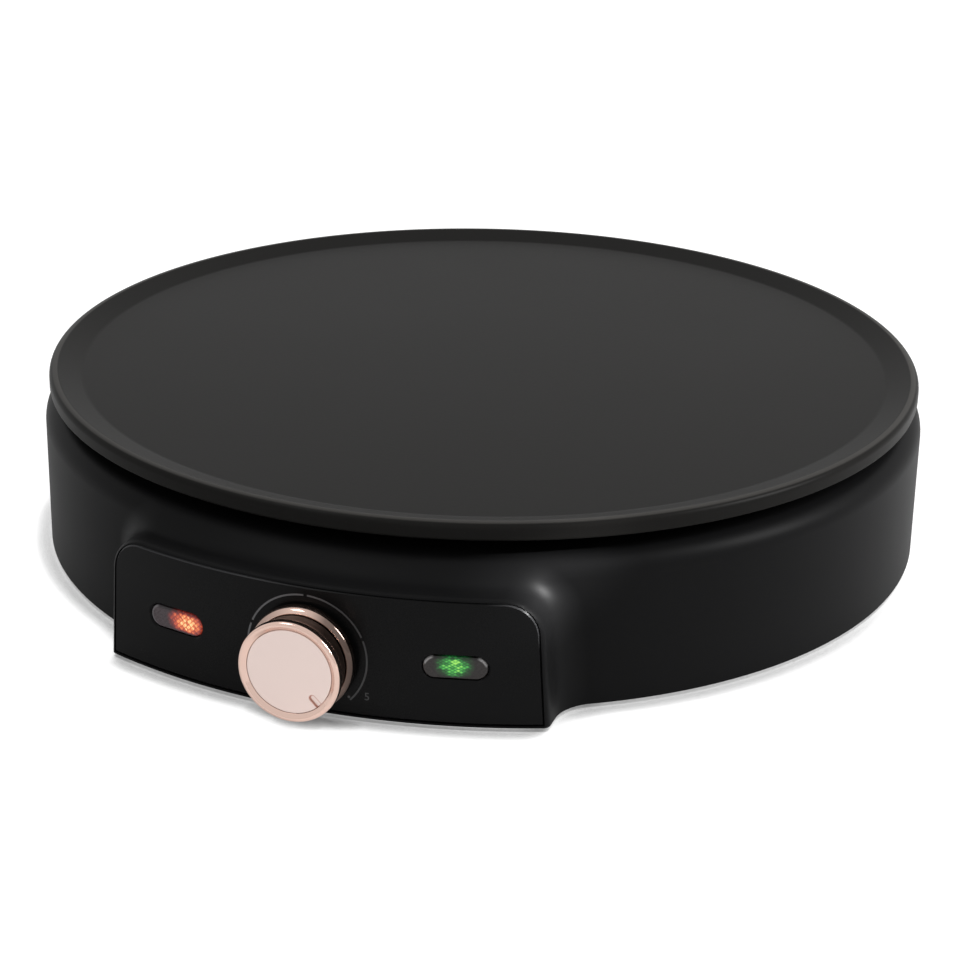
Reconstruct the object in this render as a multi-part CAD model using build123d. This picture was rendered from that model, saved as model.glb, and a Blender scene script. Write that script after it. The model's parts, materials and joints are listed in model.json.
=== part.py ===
from build123d import *
import os
from math import asin, cos, degrees, radians, sin, sqrt

# ---------------------------------------------------------------------------------------------
# Electric crepe maker. Millimetres, +Z up, the control panel looks along -Y.
# Origin: the drum's axis where it meets the table.
# A cast plate stands on four pillars over a round plastic drum. The drum holds the heater's
# wiring, a thermostat with its knob and two indicator lamps, and is closed from below.
# ---------------------------------------------------------------------------------------------

# Clearances
FIT_CLEAR = 0.2             # round a part that drops into its opening
RUN_CLEAR = 0.05            # radial, between the shaft and the thermostat's bush
THREAD_CLEAR = 0.05         # radial, between a screw and its hole's wall
SCREW_CLEAR = 0.25          # radial, where a screw only passes through
HOLE_EXTRA = 1.0            # depth of a blind hole past its screw's tip
TOUCH_CLEAR = 0.05          # wire's end to the tag or tab it meets
OVERCUT = 1.0               # how far a cut or a joined piece runs past the face it starts from
CUT_REACH = 5.0             # how far a cut from the curved front runs out of it

# Cooking plate
PLATE_R = 150.0             # outside of the skirt
CREST_Z = 61.0              # top of the rim above the table
RIM_DEPTH = 2.5             # crest of the rim down to the cooking surface
RIM_W = 3.0                 # crest of the rim, from the outside in
SLOPE_W = 8.0               # from the crest in to the flat cooking surface
RIM_ROUND = 2.2
SLOPE_ROUND = 4.0
SKIRT_H = 5.6               # crest to underside
SKIRT_ROUND = 0.8
LIP_OUT = 5.5               # ring under the plate, which screens the gap: out past the well's edge
LIP_T = 2.5
LIP_GAP = 0.7               # lip to the drum's deck
PILLAR_IN = 15.0            # reflector's edge to the circle of the pillars
PILLAR_D = 12.0
PILLAR_COUNT = 4
PILLAR_FIRST = 45.0         # degrees

# Heating element: one ring of sheathed tube in a grooved ridge under the plate
ELEMENT_IN = 24.0           # circle of the pillars to the element's ring
ELEMENT_D = 6.6
ELEMENT_GAP = 32.0          # degrees left open at the front for the cold ends
ELEMENT_BEND_R = 8.5
BEND_SHORT = 0.01           # straight left between the ring and each bend
RIDGE_W = 12.0
RIDGE_H = 5.0
LEG_BELOW = 7.5             # cold ends below the well's floor
BEAD_D = 11.0
BEAD_FLANGE_D = 14.0
BEAD_FLANGE_T = 1.5
BEAD_BELOW = 3.0            # below the well's floor
TAG_PIN_D = 2.5
TAG_PIN_L = 4.0
TAG_W = 6.3
TAG_T = 0.8
TAG_L = 11.0
STRAP_COUNT = 3
STRAP_FIRST = 90.0
STRAP_W = 10.0
STRAP_T = 1.2
STRAP_BOSS_D = 8.0
STRAP_BOSS_GAP = 2.5        # ridge to the straps' bosses
STRAP_SCREW_D = 3.0
STRAP_HEAD_D = 5.6
STRAP_HEAD_H = 2.0
STRAP_SCREW_DEPTH = 5.0

# Drum
SHELL_PROUD = 1.8           # outside of the wall, out past the plate
PLATE_GAP = 5.2             # plate's underside to the top of the drum
SHOULDER_R = 7.0
EDGE_Z = 1.2                # lower edge above the table
WALL = 2.5
DECK_W = 18.8               # top of the drum, from the wall in to the well under the plate
WELL_DEPTH = 10.2

# Control housing on the drum
FACE_R = 189.3              # radius of the curved front
HOUSING_OUT = 11.5          # foremost line of the curved front, out past the drum's wall
HOUSING_HALF_W = 72.0       # at the lower edge
HOUSING_DRAFT = 3.5         # degrees, each side leans in
HOUSING_LOW = 0.1           # top of the housing below the drum's shoulder
HOUSING_CORNER_R = 12.0
HOUSING_BLEND = 7.0         # fillet to the drum
HOUSING_EDGE = 1.5          # round of the front edges
HOUSING_IN = 39.8           # where the housing's inside ends, in from the drum's wall
EDGE_TOLERANCE = 0.05       # how near an edge lies to the face that it is picked by
PAD_DEPTH = 5.8             # front face to the flat seats inside
THERMOSTAT_PAD_W = 40.0
THERMOSTAT_PAD_H = 28.0
LAMP_PAD_W = 43.0
LAMP_PAD_H = 15.0

# Control panel, the inlay in the housing's front
PANEL_T = 2.0
PANEL_MARGIN = 2.4
PANEL_LEDGE = 1.2           # housing left below the panel
PANEL_GROOVE = 0.2          # parting gap round the panel

# Knob and shaft
KNOB_Z = 20.0
KNOB_GAP = 1.0              # panel to flange
KNOB_REACH = 13.9           # panel to the knob's front rim
FLANGE_R = 16.8
FLANGE_T = 4.6
FLANGE_ROUND = 0.9
FLANGE_DISH = 0.8           # fall of the flange's front from its edge to the neck
NECK_R = 10.5
NECK_ROUND = 1.5
HEAD_R = 16.2
HEAD_T = 4.2
HEAD_ROUND = 1.5
HEAD_DISH = 0.6
RIM_BREAK = 0.5             # round of the rim's inner edge
DISC_R = 13.5               # satin disc in the head
DISC_SINK = 0.5             # disc's face below the rim
DISC_T = 1.2
POINTER_ANGLE = 135.0       # clockwise from the top, at rest
POINTER_W = 1.8
POINTER_DEPTH = 0.6
POINTER_IN = 10.0           # inner end's distance from the axis
SHAFT_D = 6.0
SHAFT_FLAT = 1.5            # cut off the shaft on its flat
FLAT_EARLY = 0.5            # the flat starts this far behind the knob
SHAFT_IN = 8.0              # length inside the thermostat
KNOB_BORE_DEPTH = 8.5
SHAFT_END_GAP = 0.4
CLIP_T = 0.4
CLIP_W = 4.0
CLIP_L = 7.0
CLIP_IN = 0.5               # behind the knob's rear face
CLIP_GAP = 0.05

# Thermostat
BUSH_D = 9.2
BUSH_SHORT = 0.4            # bush ends this far behind the panel's back
BRACKET_W = 40.0
BRACKET_H = 22.0
BRACKET_T = 1.5
THERMOSTAT_W = 20.0
THERMOSTAT_H = 24.0
THERMOSTAT_L = 18.0
THERMOSTAT_SCREW_PITCH = 24.0
M3_D = 3.0
M3_HEAD_D = 5.6
M3_HEAD_SINK = 0.3
M3_BEHIND = 2.0             # thread that stands behind the bracket
TAB_W = 6.3
TAB_T = 0.8
TAB_L = 8.0
TAB_PITCH = 12.0
TAB_DROP = 3.0              # below the knob's axis
SENSOR_D = 5.0
SENSOR_L = 50.0
SENSOR_IN = 33.0            # element's ring to the sensor
SENSOR_TURN = 20.0          # capillary's first run, from the sensor's end
CAPILLARY_D = 1.8
CAPILLARY_BEND = 5.0
CAPILLARY_RISE = 8.0        # above the knob's axis, where it enters the thermostat
CAPILLARY_IN = 16.0         # sideways, and
CAPILLARY_AHEAD = 34.0      # forwards, on its way under the floor
CAPILLARY_END = 18.0        # its last straight run

# Lamps
LAMP_IN = 26.65             # housing's side, at the lower edge, to a lamp's middle
LAMP_Z = 20.5
LENS_L = 19.5
LENS_H = 7.4
LENS_ROUND = 0.6
LENS_SINK = 0.4             # front of the lens below the panel's face
LENS_FLANGE = 1.4           # flange beyond the lens, all round
LENS_FLANGE_T = 1.2
LAMP_HOLE_GAP = 0.25
LAMP_BOX_WALL = 1.4
LAMP_BOX_DEPTH = 13.0
LAMP_EAR = 7.0
LAMP_EAR_H = 9.4
LAMP_EAR_T = 2.0
LAMP_SCREW_D = 2.5
LAMP_SCREW_DEPTH = 2.2
LAMP_HEAD_D = 5.0
LAMP_HEAD_H = 1.6
BULB_D = 6.0
BULB_L = 14.0
BULB_TIP = 0.1              # radius of the small flat at the bulb's tip
BULB_LENS_GAP = 1.0
BULB_LEAD_D = 0.8
BULB_LEAD_L = 6.0
BULB_LEAD_PITCH = 2.6

# Reflector pan in the well
REFLECTOR_T = 0.8
REFLECTOR_GAP = 6.0         # well's wall to the reflector's rim
REFLECTOR_RIM_H = 6.0
REFLECTOR_SEAT_H = 2.2      # seats on the well's floor
REFLECTOR_BEND = 3.0
SEAT_D = 15.0

# Plate screws, through the well's floor and the reflector into the pillars
M5_D = 5.0
M5_HEAD_D = 9.0
M5_HEAD_H = 3.0
M5_DEPTH = 9.0
WASHER_D = 12.0
WASHER_T = 1.0

# Bottom cover, feet
COVER_T = 1.5
COVER_Z = 4.0
POST_BITE = 1.0             # how far the cover's posts stand in the well's wall
POST_D = 9.0
POST_COUNT = 6
COVER_SCREW_D = 3.5
COVER_HEAD_D = 7.0
COVER_HEAD_H = 2.0
COVER_SCREW_DEPTH = 10.0
FOOT_IN = 33.8              # drum's wall to the circle of the feet
FOOT_COUNT = 4
FOOT_FIRST = 45.0
FOOT_D = 20.0
FOOT_ROUND = 1.0
FOOT_STEM_D = 6.0
FOOT_BARB_D = 8.0
FOOT_BARB_H = 2.5
VENT_COUNT = 20
VENT_W = 3.0
VENT_L = 20.0
VENT_RINGS = 2
VENT_FEET = 14.0            # circle of the feet to the outer slots' ends
VENT_SPACE = 12.0           # between the rings of slots

# Cord gland and terminal block at the back
GLAND_Z = 19.0
GLAND_BORE_D = 7.2
GLAND_BODY_D = 14.0
GLAND_FLANGE_D = 20.0
GLAND_FLANGE_T = 3.0
GLAND_ROUND = 1.2
GLAND_SEAT_D = 24.0
GLAND_SEAT_OUT = 0.9        # flat seat stands out of the drum
GLAND_SEAT_IN = 1.4         # and inwards, past the wall
GLAND_NUT_D = 20.0
GLAND_NUT_T = 4.0
GLAND_TAIL = 1.5            # body past the nut
BLOCK_IN = 25.0             # well's wall to the block's middle
BLOCK_W = 32.0
BLOCK_L = 18.0
BLOCK_H = 15.0
BLOCK_WAYS = 3
BLOCK_WAY_D = 5.0
BLOCK_WAY_DEPTH = 9.0
BLOCK_SCREW_D = 3.0
BLOCK_HEAD_D = 5.5
BLOCK_HEAD_H = 2.0
BLOCK_SCREW_DEPTH = 1.8     # into the well's floor
EARTH_X = -40.0
EARTH_AHEAD = 38.0          # earth screw forward of the terminal block
EARTH_D = 4.0
EARTH_HEAD_D = 8.0
EARTH_HEAD_H = 2.6
EARTH_NUT_H = 2.4
EARTH_TIP = 0.6             # thread past the nut
EARTH_LUG_D = 9.0
EARTH_LUG_T = 0.8
EARTH_TAIL_L = 14.0         # from the screw's middle
EARTH_TAIL_W = 4.0

# Thermal fuse under the plate
FUSE_Y = 34.0
FUSE_D = 4.0
FUSE_L = 12.0
FUSE_LEAD_D = 1.0
FUSE_LEAD_L = 8.0

# Clips that hold the sensor and the fuse against the plate
HOLDER_T = 0.8
HOLDER_W = 10.0
HOLDER_TAIL = 9.0
HOLDER_BOSS_D = 7.0
HOLDER_SCREW_D = 3.0
HOLDER_HEAD_D = 5.6
HOLDER_HEAD_H = 2.0
HOLDER_SCREW_DEPTH = 2.6
HOLDER_HOLE_EXTRA = 0.4     # less than elsewhere, because the plate is thin there

# Internal wires
WIRE_D = 2.4
WIRE_BEND = 8.0
LAMP_WIRE_D = 1.4
WIRE_PASS_D = 7.0           # holes through reflector and floor
WIRE_DROP = 10.0            # upper tier of wires below the well's floor
TIER_DROP = 8.0             # lower tier below the upper one
FUSE_RUN = 14.0             # straight wire at each of the fuse's leads
NEUTRAL_END = 24.0          # last straight runs: neutral at the block,
FUSE_END = 30.0             # fuse wire at the element,
LIVE_START = 30.0           # live at the block
LIVE_END = 18.0             # and at the thermostat,
HEATER_START = 14.0         # heater wire at the thermostat
HEATER_END = 14.0           # and at the element,
EARTH_TURN = 14.0           # earth wire before it turns
EARTH_END = 8.0             # and at the lug
LIVE_SIDE_X = 62.0          # live wire's way round the fuse wire
LIVE_SIDE_Y = 10.0
LIVE_PAST_X = 24.0          # and round the element's right end: sideways
LIVE_PAST_Y = 17.0          # and behind
LAMP_WIRE_BEND = 3.0
LAMP_WIRE_START = 9.0       # straight behind the bulb
LAMP_WIRE_SIDE = 9.0        # straight beside the thermostat
LAMP_WIRE_IN = 4.0          # from the thermostat's rear face

# Derived places
CREST_R = PLATE_R - RIM_W
SURFACE_R = CREST_R - SLOPE_W
PLATE_UNDER_Z = CREST_Z - SKIRT_H
SURFACE_Z = CREST_Z - RIM_DEPTH
SHELL_R = PLATE_R + SHELL_PROUD
SHELL_TOP_Z = PLATE_UNDER_Z - PLATE_GAP
WELL_R = SHELL_R - DECK_W
WELL_Z = SHELL_TOP_Z - WELL_DEPTH
HOUSING_TOP_Z = SHELL_TOP_Z - SHOULDER_R - HOUSING_LOW
HOUSING_BACK_Y = -(SHELL_R - HOUSING_IN)
FACE_Y = -(SHELL_R + HOUSING_OUT)
LIP_R = WELL_R + LIP_OUT
REFLECTOR_R = WELL_R - REFLECTOR_GAP
PILLAR_CIRCLE_R = REFLECTOR_R - PILLAR_IN
ELEMENT_R = PILLAR_CIRCLE_R - ELEMENT_IN
FOOT_CIRCLE_R = SHELL_R - FOOT_IN
BLOCK_Y = WELL_R - BLOCK_IN
EARTH_Y = BLOCK_Y - EARTH_AHEAD
SENSOR_Y = -(ELEMENT_R - SENSOR_IN)
LAMP_ANGLE = degrees(asin((HOUSING_HALF_W - LAMP_IN) / FACE_R))   # about the front's centre of curvature
FLOOR_UNDER_Z = WELL_Z - WALL
LEG_END_Z = FLOOR_UNDER_Z - LEG_BELOW
REFLECTOR_Z = WELL_Z + REFLECTOR_SEAT_H
PILLAR_END_Z = REFLECTOR_Z + REFLECTOR_T
ELEMENT_Z = PLATE_UNDER_Z - RIDGE_H
STRAP_TOP_Z = ELEMENT_Z - ELEMENT_D / 2
FACE_CENTRE_Y = FACE_Y + FACE_R
PAD_Y = FACE_Y + PAD_DEPTH
COVER_TOP_Z = COVER_Z + COVER_T
DECK_UNDER_Z = SHELL_TOP_Z - WALL
POST_CIRCLE_R = WELL_R + WALL + POST_D / 2 - POST_BITE
STRAP_BOSS_IN_R = ELEMENT_R - RIDGE_W / 2 - STRAP_BOSS_GAP - STRAP_BOSS_D / 2
STRAP_BOSS_OUT_R = ELEMENT_R + RIDGE_W / 2 + STRAP_BOSS_GAP + STRAP_BOSS_D / 2
SENSOR_Z = PLATE_UNDER_Z - SENSOR_D / 2
FUSE_Z = PLATE_UNDER_Z - FUSE_D / 2


# ---------------------------------------------------------------------------------------------
# Helpers
# ---------------------------------------------------------------------------------------------

def rounded_face(points, rounds=()):
    """Closed outline through 2-D points; rounds lists (point index, radius)."""
    face = make_face(Polyline(*points, close=True))
    for index, radius in rounds:
        corner = face.vertices().sort_by_distance((*points[index], 0))[0]
        face = fillet(corner, radius)
    return face


def turned(points, rounds=()):
    """Solid of revolution about Z from an outline of (radius, height) points."""
    return revolve(Plane.XZ * rounded_face(points, rounds), Axis.Z)


def rod(diameter, bottom, top, at=(0, 0)):
    """Upright cylinder between two heights."""
    return Pos(at[0], at[1], bottom) * extrude(Circle(diameter / 2), top - bottom)


def block(x_size, y_size, bottom, top, at=(0, 0)):
    """Upright box between two heights, centred on a point."""
    return Pos(at[0], at[1], bottom) * extrude(Rectangle(x_size, y_size), top - bottom)


def tube(diameter, points, bend):
    """Round wire or tube along straight runs joined by arcs."""
    path = FilletPolyline(*points, radius=bend) if len(points) > 2 else Polyline(*points)
    section = Plane(origin=path @ 0, z_dir=path % 0) * Circle(diameter / 2)
    return sweep(section, path=path)


def polar(radius, angle):
    """Point on a circle about the drum's axis, angle in degrees from +X."""
    return radius * cos(radians(angle)), radius * sin(radians(angle))


def ring_of(count, first=0.0):
    """Evenly spaced angles round the drum's axis."""
    return [first + 360.0 / count * i for i in range(count)]


def face_plane(angle, height):
    """Plane on the curved front: local Z points out of it and local Y up."""
    out = (sin(radians(angle)), -cos(radians(angle)), 0)
    along = (cos(radians(angle)), sin(radians(angle)), 0)
    origin = (FACE_R * out[0], FACE_CENTRE_Y + FACE_R * out[1], height)
    return Plane(origin=origin, x_dir=along, z_dir=out)


def on_face(angle, height, solid):
    """Solid drawn about the local frame of the curved front, put in its place."""
    return face_plane(angle, height).location * solid


def slab(shape, low, high):
    """Sketch extruded between two local heights."""
    return Pos(0, 0, low) * extrude(shape, high - low)


def stadium(length, height):
    """Slot outline, length and height overall."""
    return SlotOverall(length, height)


def group(solids):
    """Several separate solids kept as one node."""
    return Compound(children=list(solids))


# ---------------------------------------------------------------------------------------------
# Plate and heater
# ---------------------------------------------------------------------------------------------

def pillar_points():
    return [polar(PILLAR_CIRCLE_R, a) for a in ring_of(PILLAR_COUNT, PILLAR_FIRST)]


def strap_bosses():
    """(inner point, outer point, angle) of each element strap's two bosses."""
    angles = ring_of(STRAP_COUNT, STRAP_FIRST)
    return [(polar(STRAP_BOSS_IN_R, a), polar(STRAP_BOSS_OUT_R, a), a) for a in angles]


def holder_points():
    """Screw points of the clips that press the sensor and the fuse to the plate."""
    return {
        "sensor": (0, SENSOR_Y + SENSOR_D / 2 + HOLDER_TAIL / 2),
        "fuse": (0, FUSE_Y + FUSE_D / 2 + HOLDER_TAIL / 2),
    }


def holder_seat_z(diameter):
    """Height of the boss that a clip's tail is screwed to."""
    return PLATE_UNDER_Z - diameter


def cooking_plate():
    outline = [
        (0, SURFACE_Z),
        (SURFACE_R, SURFACE_Z),
        (CREST_R, CREST_Z),
        (PLATE_R, CREST_Z),
        (PLATE_R, PLATE_UNDER_Z),
        (0, PLATE_UNDER_Z),
    ]
    rounds = [(1, SLOPE_ROUND), (2, RIM_ROUND), (3, RIM_ROUND), (4, SKIRT_ROUND)]
    plate = turned(outline, rounds)
    lip_end = SHELL_TOP_Z + LIP_GAP
    plate += rod(2 * LIP_R, lip_end, PLATE_UNDER_Z) - rod(2 * (LIP_R - LIP_T), lip_end, PLATE_UNDER_Z)
    ridge = rod(2 * ELEMENT_R + RIDGE_W, ELEMENT_Z, PLATE_UNDER_Z)
    plate += ridge - rod(2 * ELEMENT_R - RIDGE_W, ELEMENT_Z, PLATE_UNDER_Z)
    plate -= Pos(0, 0, ELEMENT_Z) * Torus(ELEMENT_R, ELEMENT_D / 2 + THREAD_CLEAR)
    for point in pillar_points():
        plate += rod(PILLAR_D, PILLAR_END_Z, PLATE_UNDER_Z, point)
        plate -= rod(M5_D + 2 * THREAD_CLEAR, PILLAR_END_Z, PILLAR_END_Z + M5_DEPTH + HOLE_EXTRA, point)
    for inner, outer, _ in strap_bosses():
        for point in (inner, outer):
            plate += rod(STRAP_BOSS_D, STRAP_TOP_Z, PLATE_UNDER_Z, point)
            hole_top = STRAP_TOP_Z + STRAP_SCREW_DEPTH + HOLE_EXTRA
            plate -= rod(STRAP_SCREW_D + 2 * THREAD_CLEAR, STRAP_TOP_Z, hole_top, point)
    for name, diameter in (("sensor", SENSOR_D), ("fuse", FUSE_D)):
        point = holder_points()[name]
        seat = holder_seat_z(diameter)
        plate += rod(HOLDER_BOSS_D, seat, PLATE_UNDER_Z, point)
        hole_top = seat + HOLDER_SCREW_DEPTH + HOLDER_HOLE_EXTRA
        plate -= rod(HOLDER_SCREW_D + 2 * THREAD_CLEAR, seat, hole_top, point)
    return plate


def leg_points():
    """Where the element's two cold ends go down."""
    points = []
    for side in (-1, 1):
        angle = -90.0 + side * ELEMENT_GAP / 2
        x, y = polar(ELEMENT_R, angle)
        tangent = polar(ELEMENT_BEND_R, angle - side * 90.0)
        points.append((x + tangent[0], y + tangent[1]))
    return points


def heating_element():
    radius = ELEMENT_D / 2
    sweep_angle = 360.0 - ELEMENT_GAP
    section = Plane.XZ * (Pos(ELEMENT_R, 0) * Circle(radius))
    ring = revolve(section, Axis.Z, sweep_angle)
    ring = Pos(0, 0, ELEMENT_Z) * Rot(0, 0, -90.0 + ELEMENT_GAP / 2) * ring
    for side, point in zip((-1, 1), leg_points()):
        angle = -90.0 + side * ELEMENT_GAP / 2
        start = polar(ELEMENT_R, angle)
        heading = polar(1.0, angle - side * 90.0)
        path = FilletPolyline(
            (*start, ELEMENT_Z), (*point, ELEMENT_Z), (*point, LEG_END_Z),
            radius=ELEMENT_BEND_R - BEND_SHORT,
        )
        section = Plane(origin=(*start, ELEMENT_Z), z_dir=(*heading, 0)) * Circle(radius)
        ring += sweep(section, path=path)
    return ring


def terminal_beads():
    beads = []
    for point in leg_points():
        bead = rod(BEAD_D, FLOOR_UNDER_Z - BEAD_BELOW, WELL_Z, point)
        bead += rod(BEAD_FLANGE_D, WELL_Z, WELL_Z + BEAD_FLANGE_T, point)
        bead -= rod(ELEMENT_D + 2 * THREAD_CLEAR, 0, ELEMENT_Z, point)
        beads.append(bead)
    return group(beads)


def terminal_tags():
    tags = []
    for point in leg_points():
        pin_end = LEG_END_Z - TAG_PIN_L
        pin = rod(TAG_PIN_D, pin_end, LEG_END_Z, point)
        tags.append(pin + block(TAG_W, TAG_T, pin_end - TAG_L, pin_end + OVERCUT, point))
    return group(tags)


def element_straps():
    straps = []
    length = STRAP_BOSS_OUT_R - STRAP_BOSS_IN_R + STRAP_BOSS_D
    for inner, outer, angle in strap_bosses():
        middle = polar((STRAP_BOSS_IN_R + STRAP_BOSS_OUT_R) / 2, angle)
        outline = Pos(*middle) * Rot(0, 0, angle) * SlotOverall(length, STRAP_W)
        strap = slab(outline, STRAP_TOP_Z - STRAP_T, STRAP_TOP_Z)
        for point in (inner, outer):
            strap -= rod(STRAP_SCREW_D + 2 * SCREW_CLEAR, 0, SURFACE_Z, point)
        straps.append(strap)
    return group(straps)


def strap_screws():
    screws = []
    seat = STRAP_TOP_Z - STRAP_T
    for inner, outer, _ in strap_bosses():
        for point in (inner, outer):
            screw = rod(STRAP_HEAD_D, seat - STRAP_HEAD_H, seat, point)
            screws.append(screw + rod(STRAP_SCREW_D, seat, STRAP_TOP_Z + STRAP_SCREW_DEPTH, point))
    return group(screws)


def sensor_path():
    """Capillary route from the sensor's end down through the floor to the thermostat."""
    drop_x = SENSOR_L / 2 + SENSOR_TURN
    run_z = KNOB_Z + CAPILLARY_RISE
    back_y = PAD_Y + BRACKET_T + THERMOSTAT_L
    return [
        (SENSOR_L / 2, SENSOR_Y, SENSOR_Z),
        (drop_x, SENSOR_Y, SENSOR_Z),
        (drop_x, SENSOR_Y, run_z),
        (drop_x - CAPILLARY_IN, SENSOR_Y - CAPILLARY_AHEAD, run_z),
        (0, back_y + CAPILLARY_END, run_z),
        (0, back_y, run_z),
    ]


def fuse_paths():
    """Routes of the two fuse wires, from the fuse's leads down through the floor."""
    lead = FUSE_L / 2 + FUSE_LEAD_L
    right = leg_points()[1]
    block_y = BLOCK_Y - BLOCK_L / 2
    down_z = FLOOR_UNDER_Z - WIRE_DROP
    low_z = down_z - TIER_DROP
    to_block = [
        (-lead, FUSE_Y, FUSE_Z),
        (-lead - FUSE_RUN, FUSE_Y, FUSE_Z),
        (-lead - FUSE_RUN, FUSE_Y, down_z),
        (0, block_y - NEUTRAL_END, down_z),
        (0, block_y, down_z),
    ]
    to_element = [
        (lead, FUSE_Y, FUSE_Z),
        (lead + FUSE_RUN, FUSE_Y, FUSE_Z),
        (lead + FUSE_RUN, FUSE_Y, low_z),
        (right[0], right[1] + FUSE_END, low_z),
        (right[0], right[1] + TAG_T / 2 + TOUCH_CLEAR, low_z),
    ]
    return to_block, to_element


def passages():
    """Points where tubes and wires go through the reflector and the well's floor."""
    to_block, to_element = fuse_paths()
    return [sensor_path()[2][:2], to_block[2][:2], to_element[2][:2]]


def heat_reflector():
    top = REFLECTOR_Z + REFLECTOR_T
    rim_top = REFLECTOR_Z + REFLECTOR_RIM_H
    outline = [
        (0, REFLECTOR_Z),
        (REFLECTOR_R, REFLECTOR_Z),
        (REFLECTOR_R, rim_top),
        (REFLECTOR_R - REFLECTOR_T, rim_top),
        (REFLECTOR_R - REFLECTOR_T, top),
        (0, top),
    ]
    rounds = [(1, REFLECTOR_BEND), (4, REFLECTOR_BEND - REFLECTOR_T)]
    pan = turned(outline, rounds)
    for point in pillar_points():
        pan -= rod(M5_D + 2 * SCREW_CLEAR, WELL_Z, top + OVERCUT, point)
    for point in leg_points():
        pan -= rod(BEAD_FLANGE_D, WELL_Z, top + OVERCUT, point)
    for point in passages():
        pan -= rod(WIRE_PASS_D, WELL_Z, top + OVERCUT, point)
    pan -= rod(EARTH_D + 2 * SCREW_CLEAR, WELL_Z, top + OVERCUT, (EARTH_X, EARTH_Y))
    return pan


def plate_screws():
    screws = []
    seat = FLOOR_UNDER_Z - WASHER_T
    for point in pillar_points():
        screw = rod(M5_HEAD_D, seat - M5_HEAD_H, seat, point)
        screws.append(screw + rod(M5_D, seat, PILLAR_END_Z + M5_DEPTH, point))
    return group(screws)


def plate_washers():
    washers = []
    for point in pillar_points():
        washer = rod(WASHER_D, FLOOR_UNDER_Z - WASHER_T, FLOOR_UNDER_Z, point)
        washers.append(washer - rod(M5_D + 2 * SCREW_CLEAR, 0, WELL_Z, point))
    return group(washers)


def holder(point_y, diameter, item_y, item_z):
    """Bent strip that wraps a small cylinder and is screwed to the plate beside it."""
    seat = holder_seat_z(diameter)
    outer = diameter / 2 + HOLDER_T
    strip = Plane.YZ * Pos(item_y, item_z) * Circle(outer)
    loop = Pos(-HOLDER_W / 2, 0, 0) * extrude(strip, HOLDER_W)
    tail_end = item_y + diameter / 2 + HOLDER_TAIL
    tail_middle = (item_y + tail_end) / 2
    tail = block(HOLDER_W, tail_end - item_y, seat - HOLDER_T, seat, (0, tail_middle))
    body = loop + tail
    bore = Plane.YZ * Pos(item_y, item_z) * Circle(diameter / 2 + THREAD_CLEAR)
    body -= Pos(-HOLDER_W, 0, 0) * extrude(bore, 2 * HOLDER_W)
    body -= block(2 * HOLDER_W, 4 * outer, item_z, SURFACE_Z, (0, item_y))
    body -= rod(HOLDER_SCREW_D + 2 * SCREW_CLEAR, 0, SURFACE_Z, (0, point_y))
    return body


def holder_screw(point_y, diameter):
    seat = holder_seat_z(diameter)
    head_top = seat - HOLDER_T
    screw = rod(HOLDER_HEAD_D, head_top - HOLDER_HEAD_H, head_top, (0, point_y))
    return screw + rod(HOLDER_SCREW_D, head_top, seat + HOLDER_SCREW_DEPTH, (0, point_y))


def sensor_bulb():
    section = Plane(origin=(-SENSOR_L / 2, SENSOR_Y, SENSOR_Z), z_dir=(1, 0, 0))
    return extrude(section * Circle(SENSOR_D / 2), SENSOR_L)


def thermal_fuse():
    start = Plane(origin=(-FUSE_L / 2, FUSE_Y, FUSE_Z), z_dir=(1, 0, 0))
    body = extrude(start * Circle(FUSE_D / 2), FUSE_L)
    lead_start = Plane(origin=(-FUSE_L / 2 - FUSE_LEAD_L, FUSE_Y, FUSE_Z), z_dir=(1, 0, 0))
    return body + extrude(lead_start * Circle(FUSE_LEAD_D / 2), FUSE_L + 2 * FUSE_LEAD_L)


# ---------------------------------------------------------------------------------------------
# Drum with its control housing
# ---------------------------------------------------------------------------------------------

def housing_outline(inset, bottom):
    """Front view of the housing, inset on the sides and at the top, cut off at a height."""
    lean = radians(HOUSING_DRAFT)
    slope = sin(lean) / cos(lean)
    side = inset / cos(lean)
    half_bottom = HOUSING_HALF_W - side - (bottom - EDGE_Z) * slope
    half_top = HOUSING_HALF_W - side - (HOUSING_TOP_Z - inset - EDGE_Z) * slope
    top = HOUSING_TOP_Z - inset
    points = [(-half_bottom, bottom), (half_bottom, bottom), (half_top, top), (-half_top, top)]
    corner = HOUSING_CORNER_R - inset
    return rounded_face(points, [(2, corner), (3, corner)])


def housing_prism(inset, bottom):
    """Housing's front view run from far in front to the inside of the drum."""
    reach = FACE_Y - CUT_REACH
    front = Plane(origin=(0, HOUSING_BACK_Y, 0), x_dir=(1, 0, 0), z_dir=(0, -1, 0))
    return extrude(front * housing_outline(inset, bottom), HOUSING_BACK_Y - reach)


def face_cylinder(depth):
    """Upright cylinder whose side is the curved front, set back by a depth."""
    return rod(2 * (FACE_R - depth), -OVERCUT, SHELL_TOP_Z + OVERCUT, (0, FACE_CENTRE_Y))


def housing_block(depth, inset, bottom):
    return housing_prism(inset, bottom) & face_cylinder(depth)


def drum_solid():
    outline = [
        (0, EDGE_Z),
        (SHELL_R, EDGE_Z),
        (SHELL_R, SHELL_TOP_Z),
        (WELL_R, SHELL_TOP_Z),
        (WELL_R, WELL_Z),
        (0, WELL_Z),
    ]
    return turned(outline, [(2, SHOULDER_R)])


def drum_cavity():
    outline = [
        (0, EDGE_Z - OVERCUT),
        (SHELL_R - WALL, EDGE_Z - OVERCUT),
        (SHELL_R - WALL, DECK_UNDER_Z),
        (WELL_R + WALL, DECK_UNDER_Z),
        (WELL_R + WALL, FLOOR_UNDER_Z),
        (0, FLOOR_UNDER_Z),
    ]
    return turned(outline, [(2, SHOULDER_R - WALL)])


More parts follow.
